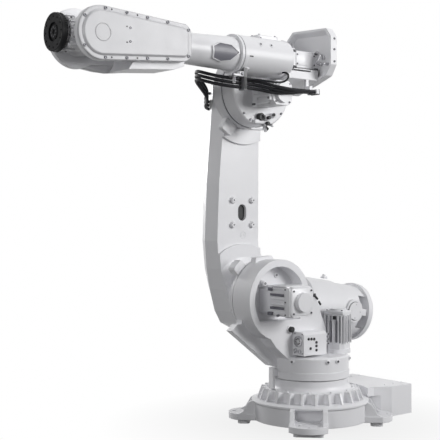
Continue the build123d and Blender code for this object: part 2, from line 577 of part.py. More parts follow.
def rear_cover():
    profile = outline(about(0, ARM_Z, [
        (190, -24), (190, 150), (150, 202), (-150, 215), (-205, 166), (-205, -162), (-154, -187), (28, -132),
        (150, -89)]))
    body = slab_x(fillet(profile.vertices(), 18), COVER_REAR_X, COVER_FRONT_X)
    body = chamfer(body.faces().sort_by(Axis.X)[0].outer_wire().edges(), 10)
    mouth = front_plane(COVER_FRONT_X) * offset(profile, -COVER_RIM, kind=Kind.INTERSECTION)
    floor = offset(profile, -COVER_RIM - COVER_RECESS, kind=Kind.INTERSECTION)
    return body - loft([front_plane(COVER_FRONT_X - COVER_RECESS) * floor, mouth], ruled=True)


def tube_casting():
    length = WRIST_TAIL_X - TUBE_START_X
    body = Pos(TUBE_START_X + length / 2, 0, ARM_Z) * Rot(0, 90, 0) * Cone(TUBE_R, TUBE_END_R, length)
    body += cyl_x(RING_4_R, TUBE_START_X, TUBE_START_X + RING_4_WIDTH, 0, ARM_Z)
    body += cyl_x(SPIGOT_4_R, TUBE_START_X - JOINT_GAP - SPIGOT_4_DEPTH, TUBE_START_X, 0, ARM_Z)
    inner_half = WRIST_HALF - COVER_THICK
    wrist = slab_y(wrist_outline(0), inner_half, -inner_half)
    belly = outline([
        (WRIST_TAIL_X - 48, ARM_Z), (WRIST_TAIL_X - 48, ARM_Z - 120), (WRIST_TAIL_X + 22, ARM_Z - 144),
        (WRIST_X - 175, ARM_Z - 168), (WRIST_X - 55, ARM_Z - 168), (WRIST_X - 55, ARM_Z)])
    belly_block = slab_y(belly, BELLY_HALF, -BELLY_HALF)
    wrist += belly_block
    wrist -= cyl_y(MOUTH_R, -FORK_HALF_GAP, FORK_HALF_GAP, WRIST_X, ARM_Z)
    wrist -= block(WRIST_X - 60, WRIST_X + 240, -FORK_HALF_GAP, FORK_HALF_GAP, ARM_Z - MOUTH_R, ARM_Z + MOUTH_R)
    wrist += cyl_y(FAR_ARM_R, -inner_half, -FORK_HALF_GAP, WRIST_X, ARM_Z)
    body += wrist
    body -= cyl_y(TRUNNION_R + RUN, -inner_half - 1, inner_half + 1, WRIST_X, ARM_Z)
    return body


def wrist_outline(inset):
    front = Pos(WRIST_X, ARM_Z) * Circle(WRIST_R - inset)
    upper = Pos(WRIST_TAIL_X, ARM_Z + WRIST_TAIL_RISE) * Circle(WRIST_TAIL_R - inset)
    lower = Pos(WRIST_TAIL_X, ARM_Z - WRIST_TAIL_RISE) * Circle(WRIST_TAIL_R - inset)
    return make_hull(front.edges() + upper.edges() + lower.edges())


def wrist_cover(side):
    low = WRIST_HALF - COVER_THICK + 0.2
    plate = slab_y(wrist_outline(2), WRIST_HALF - FIELD_RISE, low)
    field = slab_y(wrist_outline(FIELD_INSET), WRIST_HALF, WRIST_HALF - FIELD_RISE - 1)
    field = chamfer(field.faces().sort_by(Axis.Y)[-1].outer_wire().edges(), FIELD_RISE - 2)
    body = plate + field
    return body if side > 0 else mirror(body, about=Plane.XZ)


def tube_hatch():
    plan = outline(about(TUBE_START_X, ARM_Z, [
        (38, -8), (90, -53), (156, -64), (213, -50), (221, 13), (171, 38), (90, 32)]))
    body = slab_y(fillet(plan.vertices(), 9), 130, 60)
    length = WRIST_TAIL_X - TUBE_START_X
    skin = Pos(TUBE_START_X + length / 2, 0, ARM_Z) * Rot(0, 90, 0) * Cone(TUBE_R + 6, TUBE_END_R + 6, length)
    core = Pos(TUBE_START_X + length / 2, 0, ARM_Z) * Rot(0, 90, 0) * Cone(TUBE_R + SEAT, TUBE_END_R + SEAT, length)
    return (body & skin) - core


def tilt_housing():
    body = cyl_y(TILT_R, -TILT_HALF, TILT_HALF, WRIST_X, ARM_Z)
    body += cyl_x(TILT_NOSE_R, WRIST_X, DISC_BACK_X - 22, 0, ARM_Z)
    body += cyl_x(TILT_NECK_R, WRIST_X, DISC_BACK_X - 2, 0, ARM_Z)
    for side in (-1, 1):
        body += cyl_x(15, WRIST_X + 60, DISC_BACK_X - 24, side * 62, ARM_Z - 66)
    inner_half = WRIST_HALF - COVER_THICK
    body += cyl_y(TRUNNION_R, -inner_half + 4, inner_half - 4, WRIST_X, ARM_Z)
    body -= cyl_x(SPIGOT_6_R + RUN, DISC_BACK_X - 2 - SPIGOT_6_DEPTH - 2, DISC_BACK_X, 0, ARM_Z)
    return body


def turning_disc():
    body = cyl_x(DISC_R, DISC_BACK_X, FLANGE_X, 0, ARM_Z)
    body += cyl_x(SPIGOT_6_R, DISC_BACK_X - 2 - SPIGOT_6_DEPTH, DISC_BACK_X, 0, ARM_Z)
    body -= cyl_x(PILOT_R, FLANGE_X - PILOT_DEPTH, FLANGE_X + 1, 0, ARM_Z)
    for index in range(TOOL_HOLES):
        angle = radians(index * 360 / TOOL_HOLES)
        y = TOOL_PCD / 2 * cos(angle)
        z = TOOL_PCD / 2 * sin(angle)
        body -= cyl_x(TOOL_HOLE_R, FLANGE_X - TOOL_HOLE_DEPTH, FLANGE_X + 1, y, ARM_Z + z)
    return body


def corner_radii(points):
    # Each arc is as large as its two runs allow.
    radii = []
    for before, point, after in zip(points, points[1:], points[2:]):
        first = Vector(*point) - Vector(*before)
        second = Vector(*after) - Vector(*point)
        turn = radians(first.get_angle(second))
        radii.append(0.45 * min(first.length, second.length) / tan(turn / 2))
    return radii


def hose(points, radius, node):
    radii = corner_radii(points)
    path = FilletPolyline(*points, radius=radii)
    start = Plane(origin=path @ 0, z_dir=path % 0)
    tube = sweep(start * Circle(radius), path)
    print(node, "length", round(path.length), "least bend radius", round(min(radii)), "volume ratio",
          round(tube.volume / (3.14159 * radius ** 2 * path.length), 4))
    return tube


def placed(point):
    # Hose points are measured from the elbow axis along X and from the arm tube's axis in height.
    x, y, z = point
    return (ELBOW_X + x, y, ARM_Z + z)


def laid(points, turn_from, turn_to, side):
    # One strand of the bundle: it lies HOSE_PITCH beside the middle one and turns round it on the way.
    spans = len(points) - 3
    strand = []
    for index, (x, y, z) in enumerate(map(placed, points)):
        share = min(max(index - 1, 0), spans) / spans
        turn = radians(turn_from + (turn_to - turn_from) * share)
        strand.append((x, y + side * HOSE_PITCH * cos(turn), z + side * HOSE_PITCH * sin(turn)))
    return strand


def front_clamp():
    x, y, z = placed(RUN_POINTS[-1])
    body = block(x, x + CLAMP_WIDTH, y - 16, y + 32, z - 40, ARM_Z - HOUSE_R + 30)
    return body - cyl_x(RING_4_R + RUN, x - 1, x + CLAMP_WIDTH + 1, 0, ARM_Z)


def rear_clamp():
    x, y, z = placed(RUN_POINTS[0])
    body = block(x - CLAMP_WIDTH, x, y - 40, y + 40, z - 15, z + 15)
    body += block(x - CLAMP_WIDTH, x, 61, y - 20, z + 10, z + 40)
    body += block(x - CLAMP_WIDTH, x, 61, 77.9, z + 10, z + 84)
    return body - Pos(0, 0, -RUN) * shelf()


def hose_entry():
    x, y, z = placed(LOOP_POINTS[-1])
    body = block(x - CLAMP_WIDTH, x, y - 18, BEAM_FAR_Y - RUN, z - 44, z + 44)
    return chamfer(body.edges().filter_by(Axis.X).group_by(Axis.Y)[0], 8)


def main():
    os.makedirs("parts", exist_ok=True)
    save(base_casting(), "base_casting")
    save(connection_box(), "connection_box")
    save(turret_casting(), "turret_casting")
    save(balancer_bracket(), "balancer_bracket")
    save(pivot_pin(), "pivot_pin")
    save(motor_1(), "motor_axis_1")
    save(motor_2(), "motor_axis_2")
    save(connector_box(), "connector_box")
    save(stop_plate(), "stop_plate")
    save(balancer_barrel(), "balancer_barrel")
    save(balancer_end(), "balancer_end")
    save(ear_caps(), "balancer_caps")
    save(balancer_rod(), "balancer_rod")
    save(arm_pin(), "balancer_pin")
    save(lower_arm_casting(), "lower_arm")
    save(arm_house_casting(), "arm_house")
    save(motor_3(), "motor_axis_3")
    save(motor_4(), "motor_axis_4")
    save(rear_cover(), "rear_cover")
    save(tube_casting(), "arm_tube")
    save(wrist_cover(1), "wrist_cover_left")
    save(wrist_cover(-1), "wrist_cover_right")
    save(tube_hatch(), "tube_hatch")
    save(tilt_housing(), "tilt_housing")
    save(turning_disc(), "turning_disc")
    save(front_clamp(), "hose_clamp_front")
    save(rear_clamp(), "hose_clamp_rear")
    save(hose_entry(), "hose_entry")
    save(stop_block(SHOULDER_X, SHOULDER_Z, 47, HUB_2_R + 0.2, 296, 84, -160, HUB_2_FACE_Y - 2), "lower_stop")
    save(stop_block(ELBOW_X, ELBOW_Z, -57, HUB_3_R + 0.2, 312, 90, BEAM_NEAR_Y + PAD_RING_HEIGHT + 0.2, -246),
         "upper_stop")
    for number, side in enumerate((0, 1, -1), start=1):
        run = "hose_run_" + str(number)
        loop = "hose_loop_" + str(number)
        save(hose(laid(RUN_POINTS, 0, 90, side), HOSE_R, run), run)
        save(hose(laid(LOOP_POINTS, 90, 90, side), HOSE_R, loop), loop)
    save(hose([placed(point) for point in THIN_POINTS], THIN_CABLE_R, "thin_cable"), "thin_cable")


if __name__ == "__main__":
    main()
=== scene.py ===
import json
import math

import bmesh
import bpy
from mathutils import Matrix, Vector


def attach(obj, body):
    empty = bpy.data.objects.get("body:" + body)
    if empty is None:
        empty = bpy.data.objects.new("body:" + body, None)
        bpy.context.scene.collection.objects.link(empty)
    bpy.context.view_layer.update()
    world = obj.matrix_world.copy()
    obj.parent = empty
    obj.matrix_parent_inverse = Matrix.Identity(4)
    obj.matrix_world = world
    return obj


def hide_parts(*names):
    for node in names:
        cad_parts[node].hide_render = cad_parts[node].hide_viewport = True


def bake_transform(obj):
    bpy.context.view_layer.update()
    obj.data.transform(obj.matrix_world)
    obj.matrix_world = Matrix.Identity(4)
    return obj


bl_info = {
    "name": "Robot Arm Dresser",
    "version": (1, 0, 0),
    "blender": (4, 5, 0),
    "location": "3D View > Sidebar > Robot",
    "description": "Paint, screws, hoses and covers of a six-axis industrial robot arm",
    "category": "Object",
}

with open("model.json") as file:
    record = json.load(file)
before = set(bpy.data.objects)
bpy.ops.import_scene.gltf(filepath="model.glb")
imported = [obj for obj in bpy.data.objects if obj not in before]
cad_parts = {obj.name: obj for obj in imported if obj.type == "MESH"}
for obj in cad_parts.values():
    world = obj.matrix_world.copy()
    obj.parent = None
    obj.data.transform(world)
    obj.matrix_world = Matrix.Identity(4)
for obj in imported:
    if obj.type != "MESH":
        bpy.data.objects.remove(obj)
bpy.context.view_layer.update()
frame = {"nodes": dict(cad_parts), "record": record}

# Places are (x, y, z) in millimetres in the robot's frame: +X forward, +Y to its left, +Z up
MM = 0.001
JOINT_AT = {joint["name"]: [round(metres / MM, 3) for metres in joint["pos_m"]]
            for joint in frame["record"]["behaviour"]["joints"]}
SHOULDER_Z = JOINT_AT["axis_2"][2]
ELBOW_X, ELBOW_Z = JOINT_AT["axis_3"][::2]
TILT_X, ARM_Z = JOINT_AT["axis_5"][::2]
PIVOT = Vector(JOINT_AT["balancer_pivot"])

FORWARD, BACK = (1, 0, 0), (-1, 0, 0)
LEFT, RIGHT = (0, 1, 0), (0, -1, 0)
UP, DOWN = (0, 0, 1), (0, 0, -1)

# Faces of the castings, boxes and motors that carry the small parts
COVER_RIM_Y = 150
COVER_FIELD_Y = 160
DISC_FACE_X = 1812
NOSE_FACE_X = 1762
TUBE_FROM_X, TUBE_TO_X = 625, 1098
TUBE_FROM_R, TUBE_TO_R = 101, 84
HOUSE_PAD_Z = 2365
REAR_COVER_X = -52
GEAR_FACE_Y = -112
MOTOR_3_END_Y = 78
ARM_NEAR_Y = -300
ARM_FAR_Y = -486
BOSS_FACE_Y = -280
HOUSING_FACE_Y = 57
POCKET_FLOOR_Y = -30
MOTOR_2_END_Y = 250
MOTOR_1_AT = (-166, 78)
MOTOR_1_TOP_Z = 694
BOX_FACE_Y = 150
BOX_FRONT_X = 195
DRUM_R = 239
BASE_RING_Z = 222
LID_Z = 207
REAR_PANEL_X = -654


# Shader maths


class Sock:
    """One output of a shader node, with the arithmetic of numbers."""

    def __init__(self, maker, socket):
        self.maker = maker
        self.socket = socket

    def _math(self, operation, first, second):
        return self.maker.node("Math", {"operation": operation}, first, second)

    def __add__(self, other):
        return self._math("ADD", self, other)

    __radd__ = __add__

    def __mul__(self, other):
        return self._math("MULTIPLY", self, other)

    __rmul__ = __mul__

    def __sub__(self, other):
        return self._math("SUBTRACT", self, other)

    def __rsub__(self, other):
        return self._math("SUBTRACT", other, self)

    def clamp(self):
        return self.maker.node("Clamp", {}, self)


class Paint:
    """Builds one material and hands out its nodes as sockets."""

    def __init__(self, name):
        self.material = bpy.data.materials.new(name)
        self.material.use_nodes = True
        self.nodes = self.material.node_tree.nodes
        self.links = self.material.node_tree.links
        self.nodes.clear()
        self.shader = self.nodes.new("ShaderNodeBsdfPrincipled")
        self.out = self.nodes.new("ShaderNodeOutputMaterial")
        self.links.new(self.shader.outputs[0], self.out.inputs[0])

    def node(self, kind, settings, *values, output=0, **named):
        made = self.nodes.new("ShaderNode" + kind)
        for key, value in settings.items():
            setattr(made, key, value)
        for key, value in [*enumerate(values), *named.items()]:
            self.feed(made.inputs[key], value)
        return Sock(self, made.outputs[output])

    def feed(self, target, value):
        if isinstance(value, Sock):
            self.links.new(value.socket, target)
        else:
            target.default_value = value

    def where(self):
        """Object coordinates, in metres."""
        return self.node("TexCoord", {}, output=3)

    def noise(self, size, detail=3.0, rough=0.55):
        """Cloudy noise whose patches have about the given size in millimetres."""
        return self.node("TexNoise", {}, Vector=self.where(), Scale=1.0 / (size * MM), Detail=detail,
                         Roughness=rough)

    def mix(self, factor, first, second):
        return self.node("MixRGB", {"blend_type": "MIX"}, factor, first, second)

    def set(self, name, value):
        self.feed(self.shader.inputs[name], value)

    def bump(self, height, depth, strength, **under):
        grain = self.node("Bump", {}, Strength=strength, Distance=depth * MM, Height=height, **under)
        self.set("Normal", grain)

    def round_edges(self, radius, height, depth, strength):
        """Edges that look rounded to a radius, under a fine grain."""
        edge = self.node("Bevel", {"samples": 6}, radius * MM)
        self.bump(height, depth, strength, Normal=edge)


def rgba(colour, share=1.0):
    """A colour with its alpha, darkened to a share if asked."""
    return tuple(part * share for part in colour[:3]) + (1.0,)


def paint_finish(name, colour, grain, grain_depth, roughness, edge):
    """Sprayed machine paint: an orange-peel skin over a cast or a smooth ground, dusty in places."""
    made = Paint(name)
    cloud = made.noise(240.0, 3.0)
    speck = made.noise(9.0, 2.0)
    grime = ((cloud - 0.5) * 2.2 + (speck - 0.5) * 0.5).clamp()
    made.set("Base Color", made.mix(grime * 0.35, rgba(colour), rgba(colour, 0.86)))
    made.set("Roughness", (made.noise(60.0, 2.0) - 0.5) * 0.14 + roughness)
    made.set("Coat Weight", 0.15)
    made.set("Coat Roughness", 0.2)
    made.set("Specular IOR Level", 0.5)
    made.round_edges(edge, made.noise(grain, 4.0, 0.6), grain_depth, 0.6)
    return made.material


def metal_finish(name, colour, roughness):
    """Ground or blackened metal with faint streaks."""
    made = Paint(name)
    made.set("Metallic", 1.0)
    streak = made.noise(14.0, 4.0, 0.7)
    made.set("Base Color", made.mix(streak, rgba(colour), rgba(colour, 0.78)))
    made.set("Roughness", streak * 0.16 + roughness)
    made.bump(made.noise(1.6, 2.0), 0.05, 0.4)
    return made.material


def dark_finish(name, colour, roughness, grain, depth, dusty=(0.07, 0.07, 0.075), gloss=0.3):
    """Black or grey plastic and rubber, with a little dust."""
    made = Paint(name)
    dust = made.noise(35.0, 3.0)
    made.set("Base Color", made.mix((dust - 0.35).clamp() * 0.5, rgba(colour), rgba(dusty)))
    made.set("Roughness", (dust - 0.5) * 0.2 + roughness)
    made.set("Specular IOR Level", gloss)
    made.bump(made.noise(grain, 2.0), depth, 0.5)
    return made.material


finishes = {}


# Mesh helpers, all in millimetres


def finish_piece(bm, name, body, finish, smooth_angle=40.0):
    """Turns the bmesh into a piece on its body, with faces outwards and soft or hard edges by angle."""
    bmesh.ops.remove_doubles(bm, verts=bm.verts, dist=0.001)
    bmesh.ops.recalc_face_normals(bm, faces=bm.faces)
    bmesh.ops.scale(bm, vec=(MM, MM, MM), verts=bm.verts)
    mesh = bpy.data.meshes.new(name)
    bm.to_mesh(mesh)
    bm.free()
    mesh.polygons.foreach_set("use_smooth", [True] * len(mesh.polygons))
    mesh.set_sharp_from_angle(angle=math.radians(smooth_angle))
    mesh.materials.append(finishes[finish])
    piece = bpy.data.objects.new(name, mesh)
    bpy.context.scene.collection.objects.link(piece)
    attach(piece, body)


def smooth_edges(bm, width, segments, edges):
    bmesh.ops.bevel(bm, geom=edges, offset=width, offset_type="OFFSET", segments=segments, profile=0.5,
                    affect="EDGES", material=-1, clamp_overlap=True)


def new_verts(geometry):
    """The vertices among the elements that an operator gives back."""
    return [item for item in geometry if isinstance(item, bmesh.types.BMVert)]


def to_axis(direction):
    """The turn that takes +Z to the given direction."""
    return Vector(direction).to_track_quat("Z", "Y").to_matrix().to_4x4()


def turned(at, axis, degrees):
    """A turn about an axis through a point."""
    point = Vector(at)
    turn = Matrix.Rotation(math.radians(degrees), 4, axis)
    return Matrix.Translation(point) @ turn @ Matrix.Translation(-point)


def around(count, radius, shift=0.0):
    """Places of an even ring as pairs, the first a share of a step past the start."""
    angles = [math.tau * (index + shift) / count for index in range(count)]
    return [(radius * math.cos(angle), radius * math.sin(angle)) for angle in angles]


def add_disc(bm, rings, at, direction, sides=24):
    """A turned part: rings of (radius, height) along the direction, closed at both ends."""
    turn = Matrix.Translation(Vector(at)) @ to_axis(direction)
    radius, height = rings[0]
    start = turn @ Matrix.Translation((0, 0, height))
    first = bmesh.ops.create_circle(bm, cap_ends=True, segments=sides, radius=radius, matrix=start)
    face = first["verts"][0].link_faces[0]
    for radius, height in rings[1:]:
        face = bmesh.ops.extrude_discrete_faces(bm, faces=[face])["faces"][0]
        centre = turn @ Vector((0, 0, height))
        old = face.calc_center_median()
        size = (face.verts[0].co - old).length
        for vert in face.verts:
            vert.co = centre + (vert.co - old) * (radius / size)
    base = bmesh.ops.create_circle(bm, cap_ends=True, segments=sides, radius=rings[0][0], matrix=start)
    bmesh.ops.reverse_faces(bm, faces=base["verts"][0].link_faces)


def add_screw(bm, at, direction, radius, height):
    """A socket-head screw: chamfered head and a deep recess."""
    rings = [(radius, -1.0), (radius, height - radius * 0.16), (radius * 0.86, height),
             (radius * 0.56, height), (radius * 0.5, height - radius * 0.5)]
    add_disc(bm, rings, at, direction, 20)


def add_hex(bm, at, direction, radius, height):
    """A hexagon bolt head on its washer."""
    add_disc(bm, [(radius * 1.35, -1.0), (radius * 1.35, 1.8), (radius * 1.3, 2.0)], at, direction, 20)
    add_disc(bm, [(radius, 1.0), (radius, height), (radius * 0.85, height + 1.2)], at, direction, 6)


def add_ring(bm, section, at, direction, sides):
    """A turned ring: the corners of its section as (radius, height), spun about the direction."""
    turn = Matrix.Translation(Vector(at)) @ to_axis(direction)
    verts = [bm.verts.new(turn @ Vector((radius, 0, height))) for radius, height in section]
    edges = [bm.edges.new((verts[i - 1], verts[i])) for i in range(len(verts))]
    bmesh.ops.spin(bm, geom=verts + edges, cent=Vector(at), axis=Vector(direction).normalized(),
                   angle=math.tau, steps=sides, use_merge=True)


def add_block(bm, low, high, soft, turn=None):
    """A box between two corners, turned if asked, with softened edges."""
    made = bmesh.ops.create_cube(bm, size=1.0)["verts"]
    low, high = Vector(low), Vector(high)
    bmesh.ops.scale(bm, vec=high - low, verts=made)
    bmesh.ops.translate(bm, vec=(high + low) / 2, verts=made)
    if turn is not None:
        bmesh.ops.transform(bm, matrix=turn, verts=made)
    if soft:
        smooth_edges(bm, soft, 2, list(dict.fromkeys(edge for vert in made for edge in vert.link_edges)))


def smooth_line(name, points, radius=0.0):
    """A smooth NURBS line through space, thick and closed at its ends if it has a radius."""
    data = bpy.data.curves.new(name, "CURVE")
    data.dimensions = "3D"
    spline = data.splines.new("NURBS")
    spline.points.add(len(points) - 1)
    for place, point in zip(spline.points, points):
        place.co = (*(Vector(point) * MM), 1.0)
    spline.order_u = 3
    spline.use_endpoint_u = True
    spline.resolution_u = 8
    data.bevel_depth = radius * MM
    data.bevel_resolution = 4
    data.use_fill_caps = radius > 0
    line = bpy.data.objects.new(name, data)
    bpy.context.scene.collection.objects.link(line)
    return line


def line_mesh(name, points, radius, finish):
    """The tube around a smooth line as a mesh, and the points that its line follows, in metres."""
    bare = smooth_line(name + "_line", points)
    thick = smooth_line(name + "_tube", points, radius)
    follow = [tuple(v.co) for v in bpy.data.meshes.new_from_object(bare).vertices]
    mesh = bpy.data.meshes.new_from_object(thick)
    mesh.name = name
    for line in (bare, thick):
        bpy.data.objects.remove(line)
    mesh.materials.clear()
    mesh.materials.append(finishes[finish])
    mesh.polygons.foreach_set("use_smooth", [True] * len(mesh.polygons))
    tube = bpy.data.objects.new(name, mesh)
    bpy.context.scene.collection.objects.link(tube)
    return tube, follow


def add_screws(name, body, places, direction, radius=7.0, height=5.0, finish="bolt"):
    """A group of equal socket screws on one face."""
    bm = bmesh.new()
    for place in places:
        add_screw(bm, place, direction, radius, height)
    finish_piece(bm, name, body, finish, 30.0)


# Sizes, colours and lights that a user would change


def length_of(name, what, default, low, high):
    """A length that a user can change, in metres."""
    return bpy.props.FloatProperty(name=name, description=what, default=default, min=low, max=high,
                                   unit="LENGTH")


class RobotSizes(bpy.types.PropertyGroup):
    hose: length_of("Hose", "Diameter of the three hoses", 0.02, 0.01, 0.022)
    thin_cable: length_of("Thin cable", "Diameter of the thin cable", 0.012, 0.004, 0.016)
    cast_edge: length_of("Cast edge", "Radius that the castings' edges seem to have", 0.006, 0.0, 0.012)


def colour_of(name, what, default):
    """A colour that a user can change."""
    return bpy.props.FloatVectorProperty(name=name, description="Colour of " + what, subtype="COLOR",
                                         size=3, min=0.0, max=1.0, default=default)


class RobotPaint(bpy.types.PropertyGroup):
    body_colour: colour_of("Body paint", "the sprayed castings and covers", (0.80, 0.80, 0.82))
    # Painted shade: the wrist covers get the body paint darkened, for the shade that falls on their side
    cover_shaded_colour: colour_of("Cover paint with painted shade", "the moulded covers of the wrist", (0.57, 0.57, 0.59))
    hatch_colour: colour_of("Hatch paint", "the dark cover on the tube", (0.145, 0.145, 0.17))
    disc_colour: colour_of("Disc black", "the turning tool disc", (0.006, 0.006, 0.007))


class RobotLight(bpy.types.PropertyGroup):
    key: bpy.props.FloatProperty(
        name="Key light", description="Power of the large lamp on the robot's left", subtype="POWER",
        default=385.0, min=0.0)
    sky: bpy.props.FloatProperty(
        name="Sky", description="Strength of the even light from all around", default=0.12, min=0.0)


class ROBOT_OT_stage(bpy.types.Operator):
    """Builds the pale floor, the sky, the lamps and the camera"""

    bl_idname = "robot.stage"
    bl_label = "Stage"

    # Name, place, point aimed at, size in metres, and power as a share of the key light
    lamps = (("key_lamp", (-3.3, 6.2, 3.3), (0.3, -0.2, 1.2), 3.2, 1.0),
             ("front_lamp", (6.2, 1.8, 2.6), (0.4, -0.2, 1.0), 2.8, 0.24),
             ("top_lamp", (0.3, 0.6, 5.2), (0.4, -0.1, 1.0), 2.5, 0.1),
             ("far_lamp", (0.5, -6.0, 3.0), (0.3, -0.2, 1.1), 3.0, 0.55))
    photo_side = 440.0
    photo_middle_below = 7.3
    camera_at = (4.4494, 4.6393, 1.3037)
    camera_looks = (-0.6266, -0.7793, 0.0)
    shade_and_shadow_reach = 1.3
    shade_and_shadow_depth = 0.16

    def floor(self, scene):
        """A floor that shows white, with painted grey shade near the robot in which its real shadow also
        shows.
        """
        bm = bmesh.new()
        bmesh.ops.create_grid(bm, x_segments=1, y_segments=1, size=30.0)
        mesh = bpy.data.meshes.new("floor")
        bm.to_mesh(mesh)
        bm.free()
        floor = bpy.data.objects.new("floor", mesh)
        scene.collection.objects.link(floor)
        made = Paint("pale_floor")
        made.set("Base Color", (0.12, 0.12, 0.12, 1.0))
        made.set("Roughness", 0.8)
        made.set("Specular IOR Level", 0.0)
        glow = made.node("Emission", {}, (1.0, 1.0, 1.0, 1.0), 1.0)
        seen = made.node("LightPath", {}, output=0)
        mirrored = made.node("LightPath", {}, output=3)
        spread = made.node("VectorMath", {"operation": "LENGTH"}, made.where(), output=1)
        # Painted shade: near the robot the dark diffuse floor is mixed in, grey even where lit, and the
        # robot's real shadow shows in it
        shadow_and_painted_shade = (self.shade_and_shadow_reach - spread).clamp() * self.shade_and_shadow_depth
        share = seen * (1.0 - shadow_and_painted_shade) + mirrored * 0.9
        mixed = made.node("MixShader", {}, share, Sock(made, made.shader.outputs[0]), glow)
        made.links.new(mixed.socket, made.out.inputs[0])
        floor.data.materials.append(made.material)

    def sky(self, scene, strength):
        """A dim even light that the camera and reflections see as white."""
        world = bpy.data.worlds.new("studio")
        scene.world = world
        world.use_nodes = True
        nodes, links = world.node_tree.nodes, world.node_tree.links
        nodes.clear()
        kinds = ("LightPath", "Background", "Background", "Math", "MixShader", "OutputWorld")
        path, soft, white, either, mix, out = (nodes.new("ShaderNode" + kind) for kind in kinds)
        either.operation = "MAXIMUM"
        soft.inputs[0].default_value = (0.95, 0.96, 1.0, 1.0)
        soft.inputs[1].default_value = strength
        white.inputs[0].default_value = (1.0, 1.0, 1.0, 1.0)
        links.new(path.outputs["Is Camera Ray"], either.inputs[0])
        links.new(path.outputs["Is Glossy Ray"], either.inputs[1])
        for number, node in enumerate((either, soft, white)):
            links.new(node.outputs[0], mix.inputs[number])
        links.new(mix.outputs[0], out.inputs[0])

    def lamp(self, scene, name, at, aim, size, power):
        data = bpy.data.lights.new(name, "AREA")
        data.size = size
        data.energy = power
        lamp = bpy.data.objects.new(name, data)
        lamp.location = at
        lamp.rotation_euler = (Vector(aim) - Vector(at)).to_track_quat("-Z", "Y").to_euler()
        scene.collection.objects.link(lamp)

    def camera(self, scene):
        data = bpy.data.cameras.new("photo_camera")
        data.sensor_width = 36.0
        data.lens = 84.17
        data.shift_y = -self.photo_middle_below / self.photo_side
        data.clip_start = 0.1
        data.clip_end = 60.0
        camera = bpy.data.objects.new("photo_camera", data)
        camera.location = self.camera_at
        camera.rotation_euler = Vector(self.camera_looks).to_track_quat("-Z", "Y").to_euler()
        scene.collection.objects.link(camera)
        scene.camera = camera

    def execute(self, context):
        scene = context.scene
        lights = scene.robot_light
        scene.view_settings.view_transform = "Standard"
        self.floor(scene)
        self.sky(scene, lights.sky)
        for name, at, aim, size, share in self.lamps:
            self.lamp(scene, name, at, aim, size, lights.key * share)
        self.camera(scene)
        return {"FINISHED"}


class ROBOT_OT_finishes(bpy.types.Operator):
    """Makes the paints, metals, plastics and rubber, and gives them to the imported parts"""

    bl_idname = "robot.finishes"
    bl_label = "Finishes"

    by_slot = {"paint_light_grey": "cast", "black_parts": "disc", "steel": "steel", "black_hose": "rubber",
               "grey_cover": "hatch"}
    by_name = {"hose_clamp_front": "grey", "wrist_cover_left": "cover", "wrist_cover_right": "cover"}
    sheet_parts = ("rear_cover", "connection_box", "connector_box", "motor", "balancer_barrel", "hose_clamp")

    def finish_of(self, node, slot):
        finish = self.by_slot[slot]
        if finish == "cast" and node.startswith(self.sheet_parts):
            finish = "sheet"
        return self.by_name.get(node, finish)

    def execute(self, context):
        colours = context.scene.robot_paint
        cast_edge = context.scene.robot_sizes.cast_edge / MM
        finishes["cast"] = paint_finish("cast_paint", colours.body_colour, 5.0, 0.35, 0.42, cast_edge)
        finishes["sheet"] = paint_finish("smooth_paint", colours.body_colour, 2.4, 0.06, 0.36, 2.5)
        # Painted shade: the covers' finish is the body paint in a darker colour, for the shade on their side
        finishes["cover"] = paint_finish("cover_shaded_paint", colours.cover_shaded_colour, 2.4, 0.05, 0.4, 9.0)
        finishes["hatch"] = paint_finish("hatch_paint", colours.hatch_colour, 2.0, 0.05, 0.45, 3.0)
        finishes["steel"] = metal_finish("ground_steel", (0.55, 0.55, 0.57), 0.24)
        finishes["disc"] = dark_finish("black_disc", colours.disc_colour, 0.5, 2.0, 0.04,
                                       dusty=(0.012, 0.012, 0.013), gloss=0.12)
        finishes["bolt"] = metal_finish("dark_bolt", (0.13, 0.13, 0.14), 0.34)
        finishes["grey"] = dark_finish("grey_plastic", (0.13, 0.13, 0.14), 0.4, 1.5, 0.05)
        finishes["plastic"] = dark_finish("black_plastic", (0.02, 0.02, 0.022), 0.45, 1.5, 0.05)
        finishes["rubber"] = dark_finish("black_hose", (0.012, 0.012, 0.015), 0.58, 1.2, 0.08,
                                         dusty=(0.02, 0.02, 0.023), gloss=0.18)
        for entry in frame["record"]["subparts"]:
            part = frame["nodes"][entry["node"]]
            part.data.materials.clear()
            part.data.materials.append(finishes[self.finish_of(entry["node"], entry["material_slot"])])
        return {"FINISHED"}


